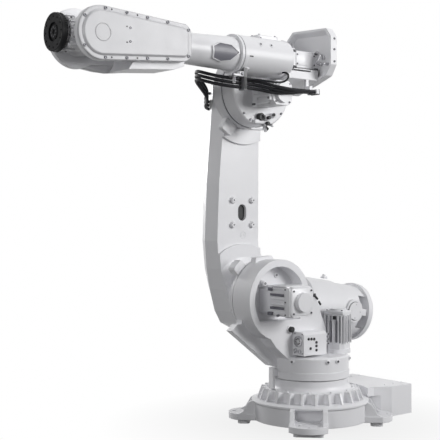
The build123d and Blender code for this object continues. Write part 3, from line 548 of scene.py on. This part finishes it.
class ROBOT_OT_hoses(bpy.types.Operator):
    """Lays the hoses and the thin cable as smooth lines, with their straps and bracket"""

    bl_idname = "robot.hoses"
    bl_label = "Hoses"

    # The middle strand's points, from the elbow's axis along X and from the arm's axis along Z
    run = ((-192, 130, -196), (-124, 130, -196), (-10, 137, -206), (100, 124, -203), (176, 80, -182),
           (234, 54, -174), (288, 54, -174))
    loop = ((310, 54, -174), (372, 54, -174), (448, 14, -162), (492, -48, -142), (494, -122, -122),
            (446, -196, -124), (360, -262, -150), (266, -328, -182), (198, -398, -210), (162, -468, -228),
            (112, -520, -240), (40, -534, -246), (-24, -534, -246))
    thin = ((288, 76, -147), (248, 76, -147), (190, 112, -152), (130, 150, -164), (74, 160, -160),
            (34, 158, -140), (10, 142, -112), (4, 114, -90), (4, 80, -90))
    pitch = 23
    run_lengths = (0.499, 0.508, 0.493)
    loop_length = 1.004
    thin_length = 0.387

    def strand(self, points, turn_from, turn_to, side):
        """One hose of the bundle, a pitch beside the middle one and turning round it on the way."""
        spans = len(points) - 3
        route = []
        for index, (x, y, z) in enumerate(points):
            share = min(max(index - 1, 0), spans) / spans
            turn = math.radians(turn_from + (turn_to - turn_from) * share)
            aside = side * self.pitch * math.cos(turn)
            above = side * self.pitch * math.sin(turn)
            route.append((ELBOW_X + x, y + aside, ARM_Z + z + above))
        return route

    def lay(self, node, route, radius, length):
        tube, follow = line_mesh("smooth_" + node, route, radius, "rubber")
        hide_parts(node)
        return tube

    def bracket(self):
        bm = bmesh.new()
        add_block(bm, (604, 34, 2092), (700, 84, 2106), 3)
        add_block(bm, (604, 60, 2100), (640, 84, 2122), 3)
        add_block(bm, (658, 40, 2052), (672, 70, 2094), 3)
        finish_piece(bm, "hose_bracket", "arm_house", "sheet")
        bm = bmesh.new()
        for x in (690, 632):
            add_hex(bm, (x, 60, 2092), DOWN, 8, 8)
        add_hex(bm, (690, 84, 2099), LEFT, 6, 6)
        add_hex(bm, (622, 84, 2108), LEFT, 7, 7)
        add_block(bm, (661, 68, 2056), (669, 73, 2088), 1)
        finish_piece(bm, "hose_bracket_bolts", "arm_house", "bolt")
        bm = bmesh.new()
        add_block(bm, (592, 84, 2022), (606, 89, 2090), 1)
        add_block(bm, (84, 112, 2018), (110, 172, 2022), 1)
        add_block(bm, (76, 96, 2017), (87, 166, 2052), 4)
        finish_piece(bm, "hose_straps", "arm_house", "plastic")

    def execute(self, context):
        sizes = context.scene.robot_sizes
        radius = round(sizes.hose / MM / 2, 3)
        thin_radius = round(sizes.thin_cable / MM / 2, 3)
        for number, (side, length) in enumerate(zip((0, 1, -1), self.run_lengths), 1):
            piece = self.lay("hose_run_%d" % number, self.strand(self.run, 0, 90, side), radius, length)
            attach(piece, "arm_house")
            piece = self.lay("hose_loop_%d" % number, self.strand(self.loop, 90, 90, side), radius,
                             self.loop_length)
            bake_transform(piece)
        piece = self.lay("thin_cable", self.strand(self.thin, 0, 0, 0), thin_radius, self.thin_length)
        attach(piece, "arm_house")
        self.bracket()
        return {"FINISHED"}


class ROBOT_OT_wrist(bpy.types.Operator):
    """Adds the wrist covers' screws, the disc's teeth and hub, the nose's lugs and the fork's far cheek"""

    bl_idname = "robot.wrist"
    bl_label = "Wrist"

    cover_rim = ((1595, 2357), (1463, 2348), (1332, 2338), (1200, 2329), (1059, 2302), (1059, 2158),
                 (1200, 2131), (1332, 2122), (1463, 2112), (1595, 2103), (1718, 2306), (1718, 2154))
    cover_dowels = ((1557, 2354), (1397, 2343), (1557, 2106), (1397, 2117))
    cheek_outline = ((1745, 2215), (1737, 2176), (1706, 2130), (1655, 2098), (1590, 2078), (1500, 2066),
                     (1420, 2063), (1310, 2076), (1200, 2092), (1107, 2104), (1060, 2140), (1060, 2230),
                     (1745, 2230))
    cheek_inner_y = -112
    cheek_thick = 38

    def cover(self, side, name):
        """The screws, plugs and dowels of one cover, and the ring that marks axis 5."""
        out = (0, side, 0)
        rim_y = side * COVER_RIM_Y
        field_y = side * COVER_FIELD_Y
        rim = [(x, rim_y, z) for x, z in self.cover_rim]
        plugs = [(1448, field_y, z) for z in (2198, 2269)]
        add_screws("cover_screws_" + name, "arm_tube", rim, out, 8.5, 5.5)
        add_screws("cover_plugs_" + name, "arm_tube", plugs, out, 7, 3)
        bm = bmesh.new()
        for x, z in self.cover_dowels:
            add_disc(bm, [(4.5, -1), (4.5, 1.5), (3.5, 2.5)], (x, rim_y, z), out, 16)
        for z in (2192, 2274):
            add_disc(bm, [(4, -1), (4, 1.2), (3, 2)], (1469, field_y, z), out, 16)
        finish_piece(bm, "cover_dowels_" + name, "arm_tube", "plastic")
        bm = bmesh.new()
        add_ring(bm, [(43, -1), (48, -1), (47.4, 1.2), (43.6, 1.2)], (TILT_X, field_y, ARM_Z), out, 64)
        finish_piece(bm, "axis_ring_" + name, "arm_tube", "cover")

    def disc(self):
        """The toothed rim, the raised lip and the hub of the tool disc."""
        teeth = 48
        bm = bmesh.new()
        for index in range(teeth):
            turn = turned((0, 0, ARM_Z), "X", index * 360 / teeth)
            add_block(bm, (1786.5, -2.4, 2328.4), (1801, 2.4, 2331.6), 0, turn)
        lip = [(90, 1), (98, 1), (98, 3.2), (96.5, 4.2), (91.5, 4.2), (90, 3)]
        add_ring(bm, lip, (DISC_FACE_X, 0, ARM_Z), FORWARD, 72)
        finish_piece(bm, "disc_teeth", "tool_disc", "disc")
        bm = bmesh.new()
        add_disc(bm, [(36, -1), (36, 5), (33, 7), (13, 7), (11, 2)], (1805, 0, ARM_Z), FORWARD, 40)
        finish_piece(bm, "disc_hub", "tool_disc", "disc")
        hub = [(DISC_FACE_X, y, ARM_Z + z) for y, z in around(8, 24)]
        add_screws("disc_hub_screws", "tool_disc", hub, FORWARD, 4.2, 2.8)

    def nose(self):
        """The lugs, ribs and screws around the nose of the tilting housing."""
        neck = [(NOSE_FACE_X, y, ARM_Z + z) for y, z in around(12, 82, 0.5)]
        add_screws("neck_screws", "wrist_tilt", neck, FORWARD, 5, 5)
        socket = [(11, -1), (11, 5), (9, 7), (5, 7), (4.5, 3)]
        bm = bmesh.new()
        for side in (-1, 1):
            add_disc(bm, socket, (NOSE_FACE_X, side * 62, 2164), FORWARD)
            add_block(bm, (1688, side * 84 - 7, 2252), (1730, side * 84 + 7, 2266), 2)
            add_disc(bm, [(9, -8), (9, 5), (7.5, 6.5)], (1709, side * 64, 2302), (0, side * 0.45, 0.9), 20)
        lugs = 10
        for index in range(lugs):
            rib_turn = turned((0, 0, ARM_Z), "X", (index + 0.5) * 360 / lugs)
            add_block(bm, (1704, -6, 2314), (1758, 6, 2326), 2.5, rib_turn)
            lug_turn = turned((0, 0, ARM_Z), "X", index * 360 / lugs)
            add_block(bm, (1722, -13, 2312), (1760, 13, 2322), 3, lug_turn)
        finish_piece(bm, "tilt_lugs", "wrist_tilt", "sheet")
        bm = bmesh.new()
        for z, y in around(lugs, 1):
            add_screw(bm, (1741, 91 * y, ARM_Z + 91 * z), (0, y, z), 6, 5)
        finish_piece(bm, "nose_screws", "wrist_tilt", "bolt", 30)

    def cheek(self):
        """The deeper cheek of the fork on the far side."""
        bm = bmesh.new()
        face = bm.faces.new([bm.verts.new((x, self.cheek_inner_y, z)) for x, z in self.cheek_outline])
        grown = bmesh.ops.extrude_face_region(bm, geom=[face], use_keep_orig=True)["geom"]
        bmesh.ops.translate(bm, vec=(0, -self.cheek_thick, 0), verts=new_verts(grown))
        bmesh.ops.recalc_face_normals(bm, faces=bm.faces)
        corner = math.radians(60)
        smooth_edges(bm, 9, 3, [edge for edge in bm.edges if edge.calc_face_angle(0.0) > corner])
        finish_piece(bm, "fork_cheek", "arm_tube", "cast", 50)

    def execute(self, context):
        self.cover(1, "left")
        self.cover(-1, "right")
        self.disc()
        self.nose()
        self.cheek()
        return {"FINISHED"}


class ROBOT_OT_tube(bpy.types.Operator):
    """Adds the hatch's raised rim and the lugs and screws around the turning ring of the tube"""

    bl_idname = "robot.tube"
    bl_label = "Tube"

    # The hatch's corners and middle, from the tube's thick end along X and from its axis along Z
    hatch_corners = ((38, -8), (90, -53), (156, -64), (213, -50), (221, 13), (171, 38), (90, 32))
    hatch_middle = Vector((139, 0, -13))

    def hatch_rim(self):
        """A strip around the hatch, laid on the tapering tube and raised from it."""
        thick_end = Vector((TUBE_FROM_X, 0, ARM_Z))
        bm = bmesh.new()
        loops = []
        for grow in (1.075, 0.985):
            outline = [self.hatch_middle + (Vector((x, 0, z)) - self.hatch_middle) * grow
                       for x, z in self.hatch_corners]
            verts = [bm.verts.new(thick_end + corner) for corner in outline]
            loops.append([bm.edges.new((verts[i - 1], verts[i])) for i in range(len(verts))])
        bmesh.ops.bridge_loops(bm, edges=loops[0] + loops[1])
        bmesh.ops.subdivide_edges(bm, edges=loops[0] + loops[1], cuts=5, use_grid_fill=True)
        grown = bmesh.ops.extrude_face_region(bm, geom=list(bm.faces), use_keep_orig=True)["geom"]
        top = set(new_verts(grown))
        taper = (TUBE_FROM_R - TUBE_TO_R) / (TUBE_TO_X - TUBE_FROM_X)
        for vert in bm.verts:
            radius = TUBE_FROM_R - (vert.co.x - TUBE_FROM_X) * taper + (9.0 if vert in top else -1.0)
            vert.co.y = math.sqrt(radius * radius - (vert.co.z - ARM_Z) ** 2)
        finish_piece(bm, "hatch_rim", "arm_tube", "sheet", 50)

    def turning_ring(self):
        bm = bmesh.new()
        screws = []
        for degrees in (60, 90, 118, 150, 217):
            turn = turned((0, 0, ARM_Z), "X", degrees)
            add_block(bm, (566, -15, 2338), (597, 15, 2352), 3, turn)
            screws.append(turn @ Vector((566, 0, 2345)))
        finish_piece(bm, "flange_lugs", "arm_house", "cast")
        add_screws("flange_screws", "arm_house", screws, BACK, 5.5, 5)
        bm = bmesh.new()
        seal = [(112, 0), (115.6, 0), (115.6, 4.6), (112, 4.6)]
        add_ring(bm, seal, (620.2, 0, ARM_Z), FORWARD, 72)
        finish_piece(bm, "ring_seal", "arm_house", "hatch")

    def execute(self, context):
        self.hatch_rim()
        self.turning_ring()
        return {"FINISHED"}


class ROBOT_OT_house(bpy.types.Operator):
    """Adds the arm house's bosses and screws, the axis 4 motor's fittings and the rear cover's bolts"""

    bl_idname = "robot.house"
    bl_label = "Arm house"

    slant = (0, 0.86, 0.5)
    top_lean = (0, 0.26, 0.97)

    def casting(self):
        pad = [(x, y) for x in (282, 408) for y in (-78, -14)]
        bm = bmesh.new()
        add_disc(bm, [(19, -14), (19, 4), (16, 7), (9, 7), (8, 1)], (246, 30, 2338), self.top_lean, 28)
        small = [(13, -8), (13, 3), (11, 5)]
        add_disc(bm, small, (409, -4, 2346), LEFT)
        for x in (494, 411):
            add_disc(bm, small, (x, 97, 2287), self.slant)
        for x, y in pad:
            add_disc(bm, [(12, -1), (12, 3), (10, 4)], (x, y, HOUSE_PAD_Z), UP)
        finish_piece(bm, "house_bosses", "arm_house", "cast")
        add_screws("house_screws_side", "arm_house", [(409, 1, 2346)], LEFT, 6.5, 4)
        add_screws("house_screws_round", "arm_house", [(x, 101, 2290) for x in (494, 411)], self.slant, 6, 3)
        add_screws("house_screws_top", "arm_house", [(246, 31, 2340)], self.top_lean, 7, 3)
        add_screws("pad_screws", "arm_house", [(x, y, HOUSE_PAD_Z + 4) for x, y in pad], UP, 6, 5)
        # Painted shade: a black strip stands in for the shade inside a slot in the casting
        bm = bmesh.new()
        add_block(bm, (562, 110, 2206), (588, 115.6, 2213), 1)
        finish_piece(bm, "house_slot_shade", "arm_house", "plastic")

    def motor_4(self):
        """The cover plate, rails, clips, plugs and screws of the axis 4 motor."""
        bm = bmesh.new()
        add_block(bm, (22, 64, 2200), (182, 69, 2276), 2)
        add_block(bm, (8, 60, 2172), (206, 76, 2179), 1.5)
        for x in (204, 8):
            add_block(bm, (x - 8, 60, 2290), (x + 14, 72, 2299), 1.5)
        finish_piece(bm, "motor_4_cover", "arm_house", "sheet")
        bm = bmesh.new()
        for x, z in ((196, 2283), (14, 2281), (192, 2190), (12, 2188)):
            add_block(bm, (x - 13, 60, z - 6), (x + 13, 72, z + 6), 1.5)
            add_disc(bm, [(5, 0), (5, 4), (4, 5)], (x, 72, z), LEFT, 16)
        add_block(bm, (20, 62, 2179), (184, 70, 2184), 1)
        add_block(bm, (6, 64, 2140), (22, 74, 2172), 2)
        finish_piece(bm, "motor_4_clips", "arm_house", "grey")
        bm = bmesh.new()
        for x, z in ((226, 2282), (236, 2262), (218, 2254), (238, 2240)):
            add_disc(bm, [(8.5, -22), (8.5, 8), (7, 10), (5, 10), (4.5, 4)], (x, 62, z), LEFT, 20)
        finish_piece(bm, "motor_4_plugs", "arm_house", "steel")
        corners = [(x, 69, z) for x in (32, 172) for z in (2210, 2266)]
        add_screws("motor_4_screws", "arm_house", corners, LEFT, 5, 3)

    def rear_cover(self):
        """The bent pipe, the glands and the bolts of the rear cover."""
        bend = [(-10, 84, 2218), (20, 84, 2218), (34, 96, 2222), (34, 112, 2240), (26, 116, 2262),
                (10, 112, 2274), (-4, 108, 2264), (-16, 104, 2252)]
        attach(line_mesh("cover_pipe", bend, 5, "steel")[0], "arm_house")
        bm = bmesh.new()
        gland = [(11, -14), (11, 6), (9, 8)]
        add_disc(bm, gland, (-8, 84, 2218), FORWARD, 20)
        add_disc(bm, gland, (-12, 106, 2256), FORWARD, 20)
        add_disc(bm, [(9, -14), (9, 30), (7, 34)], (-6, 146, 2214), FORWARD, 20)
        finish_piece(bm, "cover_glands", "arm_house", "steel")
        left = [(-22, 190, z) for z in (2226, 2300, 2366)]
        right = [(-22, -205, z) for z in (2100, 2200, 2300, 2370)]
        rear = ((160, 2250), (160, 2350), (120, 2405), (-120, 2412), (-175, 2370), (-175, 2240), (-175, 2100),
                (-60, 2090), (90, 2155))
        add_screws("cover_bolts_left", "arm_house", left, LEFT)
        add_screws("cover_bolts_right", "arm_house", right, RIGHT)
        add_screws("cover_bolts_rear", "arm_house", [(REAR_COVER_X, y, z) for y, z in rear], BACK)

    def execute(self, context):
        self.casting()
        self.motor_4()
        self.rear_cover()
        return {"FINISHED"}


class ROBOT_OT_elbow(bpy.types.Operator):
    """Adds the screws, fittings, ribs and seal of the axis 3 motor and its gear"""

    bl_idname = "robot.elbow"
    bl_label = "Elbow"

    screw_circle_r = 211
    screw_angles = (-47, -64, 222)

    def gear(self):
        """The screws, bracket, plugs and grease nipples on the face of the gear's drum."""
        angles = [math.radians(degrees) for degrees in self.screw_angles]
        screws = [(ELBOW_X + self.screw_circle_r * math.cos(angle), GEAR_FACE_Y,
                   ELBOW_Z + self.screw_circle_r * math.sin(angle)) for angle in angles]
        add_screws("gear_screws", "arm_house", screws, LEFT, 7.5, 6)
        bm = bmesh.new()
        add_block(bm, (268, -116, 1846), (372, -92, 1872), 4)
        add_block(bm, (296, -136, 1808), (392, -104, 1822), 2)
        add_block(bm, (262, -112, 1868), (300, -76, 1900), 4)
        add_disc(bm, [(16, -30), (16, 14), (13, 17)], (222, -98, 1902), LEFT)
        finish_piece(bm, "gear_bracket", "arm_house", "cast")
        bm = bmesh.new()
        add_disc(bm, [(24, 0), (24, 26), (20, 30), (12, 30), (11, 22)], (322, GEAR_FACE_Y, 1888), LEFT, 28)
        add_disc(bm, [(11, 0), (11, 20), (9, 22)], (283, -78, 1884), LEFT, 20)
        add_disc(bm, [(10, 0), (10, 14), (8, 16)], (232, -84, 1904), (0.3, 1, 0), 20)
        add_disc(bm, [(12, 0), (12, 20), (10, 22)], (277, -94, 1850), LEFT, 20)
        add_disc(bm, [(12, 0), (12, 22), (9, 24)], (272, GEAR_FACE_Y, 1828), (0, 0.8, -0.6), 20)
        finish_piece(bm, "gear_plugs", "arm_house", "plastic")
        bm = bmesh.new()
        add_disc(bm, [(10, 0), (10, 34), (8, 36)], (288, -104, 1832), (0, 0.4, -0.9), 20)
        add_disc(bm, [(8, 0), (8, 26), (6, 28)], (250, -100, 1846), (-0.4, 0.8, -0.4), 20)
        finish_piece(bm, "gear_nipples", "arm_house", "steel")

    def motor_3(self):
        """The ribs, sockets and screws of the axis 3 motor."""
        bm = bmesh.new()
        for z in (1962, 2022, 2082):
            add_block(bm, (369, -100, z - 5), (377, 40, z + 5), 2)
        add_block(bm, (371, 36, 1972), (392, 66, 2006), 4)
        add_block(bm, (371, -104, 1946), (384, -66, 1972), 3)
        add_block(bm, (252, 72, 1978), (348, 82, 2066), 3)
        finish_piece(bm, "motor_3_ribs", "arm_house", "sheet")
        corners = [(x, MOTOR_3_END_Y, z) for x in (246, 354) for z in (1968, 2076)]
        add_screws("motor_3_screws", "arm_house", corners, LEFT, 6, 5)
        bm = bmesh.new()
        add_disc(bm, [(9, 0), (9, 10), (7, 12)], (381, 51, 1989), FORWARD, 20)
        add_block(bm, (376, -96, 1954), (394, -74, 1966), 2)
        finish_piece(bm, "motor_3_plugs", "arm_house", "grey")

    def execute(self, context):
        self.gear()
        self.motor_3()
        bm = bmesh.new()
        add_ring(bm, [(227, -2), (230, -2), (230, 1), (227, 1)], (ELBOW_X, -219, ELBOW_Z), LEFT, 96)
        finish_piece(bm, "gear_seal", "arm_house", "hatch")
        return {"FINISHED"}


class ROBOT_OT_lower_arm(bpy.types.Operator):
    """Adds a black plate in the oval hole as painted shade of its depth, the rings of its bosses, the cast
    mark and the head's screws
    """

    bl_idname = "robot.lower_arm"
    bl_label = "Lower arm"

    oval_z = 1305
    oval_half_straight = 18

    def execute(self, context):
        # Painted shade: a black plate set inside the oval hole darkens it
        bm = bmesh.new()
        add_disc(bm, [(32.4, -2), (32.4, 0)], (ELBOW_X, -318, self.oval_z), LEFT, 48)
        for vert in bm.verts:
            vert.co.z += math.copysign(self.oval_half_straight, vert.co.z - self.oval_z)
        finish_piece(bm, "oval_hole_shade_plate", "lower_arm", "plastic")
        boss = [(17, -20), (23, -20), (21.5, -17), (17.5, -16.4)]
        bm = bmesh.new()
        for x in (221, 379):
            for z in (1228, 1382):
                add_ring(bm, boss, (x, BOSS_FACE_Y, z), LEFT, 32)
        add_ring(bm, [(19, -1), (22, -1), (21.6, 1), (19.4, 1)], (293, ARM_NEAR_Y, 1164), LEFT, 40)
        for x in (285, 301):
            add_disc(bm, [(3, -1), (3, 1), (2, 1.4)], (x, ARM_NEAR_Y, 1164), LEFT, 12)
        finish_piece(bm, "arm_marks", "lower_arm", "cast")
        head = [(ELBOW_X + x, ARM_FAR_Y, ELBOW_Z + z) for x, z in around(10, 112)]
        add_screws("head_screws", "lower_arm", head, RIGHT, 9, 7)
        return {"FINISHED"}


class ROBOT_OT_turret(bpy.types.Operator):
    """Adds the screws, plugs, motor rails and connectors of the turret"""

    bl_idname = "robot.turret"
    bl_label = "Turret"

    lean = turned((*MOTOR_1_AT, 0), "Z", 20)
    drum_angles = (72.5, 89.5, 132.5, -60, -30, 20, 200, 250)

    def housing(self):
        """The bosses, screws and plugs of the gear housing, and the small black bracket on it."""
        bm = bmesh.new()
        add_disc(bm, [(17, -2), (17, 4), (14, 6)], (258, POCKET_FLOOR_Y, 924), LEFT, 28)
        stud = [(21, -10), (21, 24), (17, 28), (15, 28), (15, 44), (12, 46)]
        add_disc(bm, stud, (387, POCKET_FLOOR_Y, 878), LEFT, 28)
        add_disc(bm, [(30, -6), (26, 5), (22, 6)], (222, HOUSING_FACE_Y, 598), LEFT, 28)
        finish_piece(bm, "housing_bosses", "turret", "cast")
        add_screws("housing_screws", "turret", [(258, -25, 924), (384, 15, 880)], LEFT, 7, 4)
        bm = bmesh.new()
        add_disc(bm, [(18, 0), (18, 20), (14, 24)], (222, 60, 598), LEFT, 28)
        add_disc(bm, [(9.5, -2), (9.5, 0.6)], (364, -47, 1003), LEFT)
        add_disc(bm, [(9.5, -2), (9.5, 0.6)], (364, -91, 1003), RIGHT)
        add_block(bm, (-13, 56, 774), (25, 64, 786), 2, turned((4, 60, 780), "Y", -44))
        add_block(bm, (-40, 56, 738), (-10, 64, 750), 2, turned((-25, 60, 744), "Y", -55))
        add_block(bm, (12, 56, 786), (28, 66, 806), 2)
        finish_piece(bm, "housing_plugs", "turret", "plastic")

    def motor_2(self):
        """The rails, connector blocks, flange and end bell of the axis 2 motor."""
        bm = bmesh.new()
        for z in (-74, -16, 16, 74):
            add_block(bm, (386, 70, SHOULDER_Z + z - 5), (394, 196, SHOULDER_Z + z + 5), 2)
        add_block(bm, (384, 196, 696), (396, 240, 864), 4)
        add_block(bm, (206, 60, 866), (384, 200, 873), 2)
        add_block(bm, (206, 196, 690), (394, 214, 872), 5)
        add_block(bm, (216, 236, 700), (384, 250, 860), 6)
        finish_piece(bm, "motor_2_rails", "turret", "sheet")
        bm = bmesh.new()
        add_block(bm, (390, 62, 842), (408, 92, 862), 3)
        add_block(bm, (390, 62, 698), (410, 96, 718), 3)
        add_block(bm, (388, 66, 812), (392, 186, 826), 1)
        add_block(bm, (388, 66, 734), (392, 186, 748), 1)
        add_disc(bm, [(8, 0), (8, 12), (6, 14)], (398, 150, 700), FORWARD, 20)
        finish_piece(bm, "motor_2_sockets", "turret", "hatch")
        front = [(396, 206, z) for z in (706, 780, 854)]
        add_screws("motor_2_screws_front", "turret", front, FORWARD, 5, 4)
        end = [(x, MOTOR_2_END_Y, z) for x in (230, 370) for z in (714, 846)]
        add_screws("motor_2_screws_end", "turret", end, LEFT, 6, 5)

    def motor_1(self):
        """The cooling ribs, dark strips between them as painted shade of the slots, the socket and the top
        plate of the axis 1 motor.
        """
        x, y = MOTOR_1_AT
        quarters = [self.lean @ turned((x, y, 0), "Z", degrees) for degrees in (0, 90, 180, 270)]
        bm = bmesh.new()
        for place in (-52, -36, 0, 36, 52):
            for quarter in quarters:
                add_block(bm, (x + place - 3, y + 62, 490), (x + place + 3, y + 69, 668), 1.5, quarter)
        add_block(bm, (x - 66, y - 66, 668), (x + 66, y + 66, MOTOR_1_TOP_Z), 8, self.lean)
        finish_piece(bm, "motor_1_ribs", "turret", "sheet")
        top = [self.lean @ Vector((x + across, y + along, MOTOR_1_TOP_Z))
               for across in (-50, 50) for along in (-50, 50)]
        add_screws("motor_1_screws", "turret", top, UP, 6, 5)
        bm = bmesh.new()
        add_block(bm, (-108, 74, 640), (-95, 96, 662), 3, self.lean)
        finish_piece(bm, "motor_1_plugs", "turret", "plastic")
        # Painted shade: dark strips between the ribs stand in for the shade inside the slots
        bm = bmesh.new()
        for quarter in quarters:
            for place in (-44, -18, 18, 44):
                add_block(bm, (x + place - 4, y + 60, 496), (x + place + 4, y + 65, 662), 0.5, quarter)
        finish_piece(bm, "motor_1_slot_shade", "turret", "hatch")

    def cheek(self):
        """The lugs and screws on the cheek behind the connector box."""
        heights = (548, 516, 489)
        bm = bmesh.new()
        for z in heights:
            add_disc(bm, [(9, -6), (9, 8), (7, 10)], (-92, HOUSING_FACE_Y, z), LEFT, 20)
        add_block(bm, (-118, 50, 500), (-104, 66, 540), 2)
        finish_piece(bm, "cheek_lugs", "turret", "cast")
        add_screws("cheek_screws", "turret", [(-92, HOUSING_FACE_Y + 10, z) for z in heights], LEFT, 5, 4)

    def connector_box(self):
        """The blanking plugs, and the round connectors with their pins on the box's front side."""
        bm = bmesh.new()
        for x, z in ((156, 543), (133, 542), (110, 540), (91, 519), (91, 497), (91, 472), (140, 485)):
            add_disc(bm, [(8.5, -1), (8.5, 3), (7, 4)], (x, BOX_FACE_Y, z), LEFT, 20)
        for y in (72, 136):
            for z in (456, 572):
                add_disc(bm, [(3.5, -1), (3.5, 2)], (BOX_FRONT_X, y, z), FORWARD, 12)
        for y, z in around(10, 17):
            add_disc(bm, [(2.6, 0), (2.6, 7), (2, 8)], (BOX_FRONT_X + 2, 104 + y, 528 + z), FORWARD, 10)
        finish_piece(bm, "box_plugs", "turret", "plastic")
        bm = bmesh.new()
        large = [(26, -1), (33, -1), (33, 10), (31, 12), (27, 12), (26, 10)]
        add_ring(bm, large, (BOX_FRONT_X, 104, 528), FORWARD, 40)
        for y, z in ((82, 472), (116, 468)):
            add_ring(bm, [(8, -1), (13, -1), (13, 9), (8, 9)], (BOX_FRONT_X, y, z), FORWARD, 24)
        finish_piece(bm, "box_connectors", "turret", "steel")
        bm = bmesh.new()
        add_block(bm, (14, 148, 452), (186, 151, 458), 1)
        add_block(bm, (6, 146, 446), (192, 152, 450), 1)
        finish_piece(bm, "box_seam", "turret", "sheet")

    def drum(self):
        ways = [(math.cos(angle), math.sin(angle)) for angle in map(math.radians, self.drum_angles)]
        bm = bmesh.new()
        for x, y in ways:
            add_disc(bm, [(15, -5), (15, 5), (12, 7)], (DRUM_R * x, DRUM_R * y, 405), (x, y, 0))
        finish_piece(bm, "drum_bosses", "turret", "cast")
        bm = bmesh.new()
        for x, y in ways:
            add_screw(bm, ((DRUM_R + 6) * x, (DRUM_R + 6) * y, 405), (x, y, 0), 7, 5)
        finish_piece(bm, "drum_screws", "turret", "bolt", 30)

    def execute(self, context):
        self.housing()
        self.motor_2()
        self.motor_1()
        self.cheek()
        self.connector_box()
        self.drum()
        return {"FINISHED"}


class ROBOT_OT_balancer(bpy.types.Operator):
    """Adds the flange bolts, the rear disc, the top lug and the cap rings of the spring balancer"""

    bl_idname = "robot.balancer"
    bl_label = "Balancer"

    lean = -9.1
    flange_at = -166

    def execute(self, context):
        turn = turned(PIVOT, "Y", self.lean)
        back = turn.to_3x3() @ Vector(BACK)
        rear = turn @ (PIVOT + Vector((self.flange_at, 0, 0)))
        bm = bmesh.new()
        for y, z in around(10, 168, 0.5):
            add_hex(bm, turn @ (PIVOT + Vector((self.flange_at, y, z))), back, 11, 9)
        finish_piece(bm, "flange_bolts", "balancer", "bolt")
        bm = bmesh.new()
        add_disc(bm, [(120, -2), (120, 4), (112, 9), (60, 9), (56, 5)], rear, back, 56)
        add_block(bm, (-334, -218, 872), (-300, -182, 888), 4, turned((-317, -200, 880), "Y", self.lean))
        add_disc(bm, [(12, -6), (12, 10), (9, 13), (5, 13), (4, 8)], (-316, -200, 886), (-0.16, 0, 1))
        finish_piece(bm, "balancer_fittings", "balancer", "cast")
        bm = bmesh.new()
        for side in (-1, 1):
            at = turn @ (PIVOT + Vector((0, side * 185, 0)))
            add_ring(bm, [(58.4, -1), (61, -1), (61, 1.6), (58.4, 1.6)], at, (0, side, 0), 56)
        finish_piece(bm, "cap_seals", "balancer", "plastic")
        for side, name in ((-1, "right"), (1, "left")):
            screws = [turn @ (PIVOT + Vector((x, side * 193, z))) for x, z in around(4, 44)]
            add_screws("cap_screws_" + name, "balancer", screws, (0, side, 0), 5, 3, "sheet")
        return {"FINISHED"}


class ROBOT_OT_base(bpy.types.Operator):
    """Adds the base's rubber stop and ring screws, and the rear panel and screws of the connection box"""

    bl_idname = "robot.base"
    bl_label = "Base"

    def execute(self, context):
        bm = bmesh.new()
        add_disc(bm, [(17, -14), (17, 14), (13, 18)], (268, 16, 194), (0.7, 0.7, 0.1), 28)
        finish_piece(bm, "stop_bumper", "base", "plastic")
        bm = bmesh.new()
        for x, y in around(12, 262, 0.5):
            add_hex(bm, (x, y, BASE_RING_Z), UP, 8, 7)
        finish_piece(bm, "ring_screws", "base", "sheet")
        lid = [(x, y, LID_Z) for x in (-635, -560, -480) for y in (-185, 185)]
        add_screws("lid_screws", "base", lid, UP, 7, 4, "sheet")
        bm = bmesh.new()
        add_block(bm, (REAR_PANEL_X, -180, 44), (-649, 180, 186), 3)
        for y in (-110, -40, 30, 100):
            add_disc(bm, [(24, -1), (24, 8), (21, 11)], (-652, y, 118), BACK, 32)
        finish_piece(bm, "rear_panel", "base", "sheet")
        panel = [(REAR_PANEL_X, y, z) for y in (-166, 0, 166) for z in (56, 174)]
        add_screws("panel_screws", "base", panel, BACK, 5, 4)
        return {"FINISHED"}


OPERATORS = (ROBOT_OT_stage, ROBOT_OT_finishes, ROBOT_OT_hoses, ROBOT_OT_wrist, ROBOT_OT_tube, ROBOT_OT_house,
             ROBOT_OT_elbow, ROBOT_OT_lower_arm, ROBOT_OT_turret, ROBOT_OT_balancer, ROBOT_OT_base)
GROUPS = {"robot_sizes": RobotSizes, "robot_paint": RobotPaint, "robot_light": RobotLight}


class ROBOT_PT_panel(bpy.types.Panel):
    """Lists the robot's sizes, colours, lights and steps"""

    bl_label = "Robot arm"
    bl_idname = "ROBOT_PT_panel"
    bl_space_type = "VIEW_3D"
    bl_region_type = "UI"
    bl_category = "Robot"

    def draw(self, context):
        column = self.layout.column()
        for group_name, group in GROUPS.items():
            for name in group.__annotations__:
                column.prop(getattr(context.scene, group_name), name)
        for operator in OPERATORS:
            column.operator(operator.bl_idname)


CLASSES = (*GROUPS.values(), *OPERATORS, ROBOT_PT_panel)


def register():
    for item in CLASSES:
        bpy.utils.register_class(item)
    for name, group in GROUPS.items():
        setattr(bpy.types.Scene, name, bpy.props.PointerProperty(type=group))


def unregister():
    for name in GROUPS:
        delattr(bpy.types.Scene, name)
    for item in reversed(CLASSES):
        bpy.utils.unregister_class(item)


def main():
    register()
    bpy.ops.robot.stage()
    bpy.ops.robot.finishes()
    bpy.ops.robot.hoses()
    bpy.ops.robot.wrist()
    bpy.ops.robot.tube()
    bpy.ops.robot.house()
    bpy.ops.robot.elbow()
    bpy.ops.robot.lower_arm()
    bpy.ops.robot.turret()
    bpy.ops.robot.balancer()
    bpy.ops.robot.base()


if __name__ == "__main__":
    main()
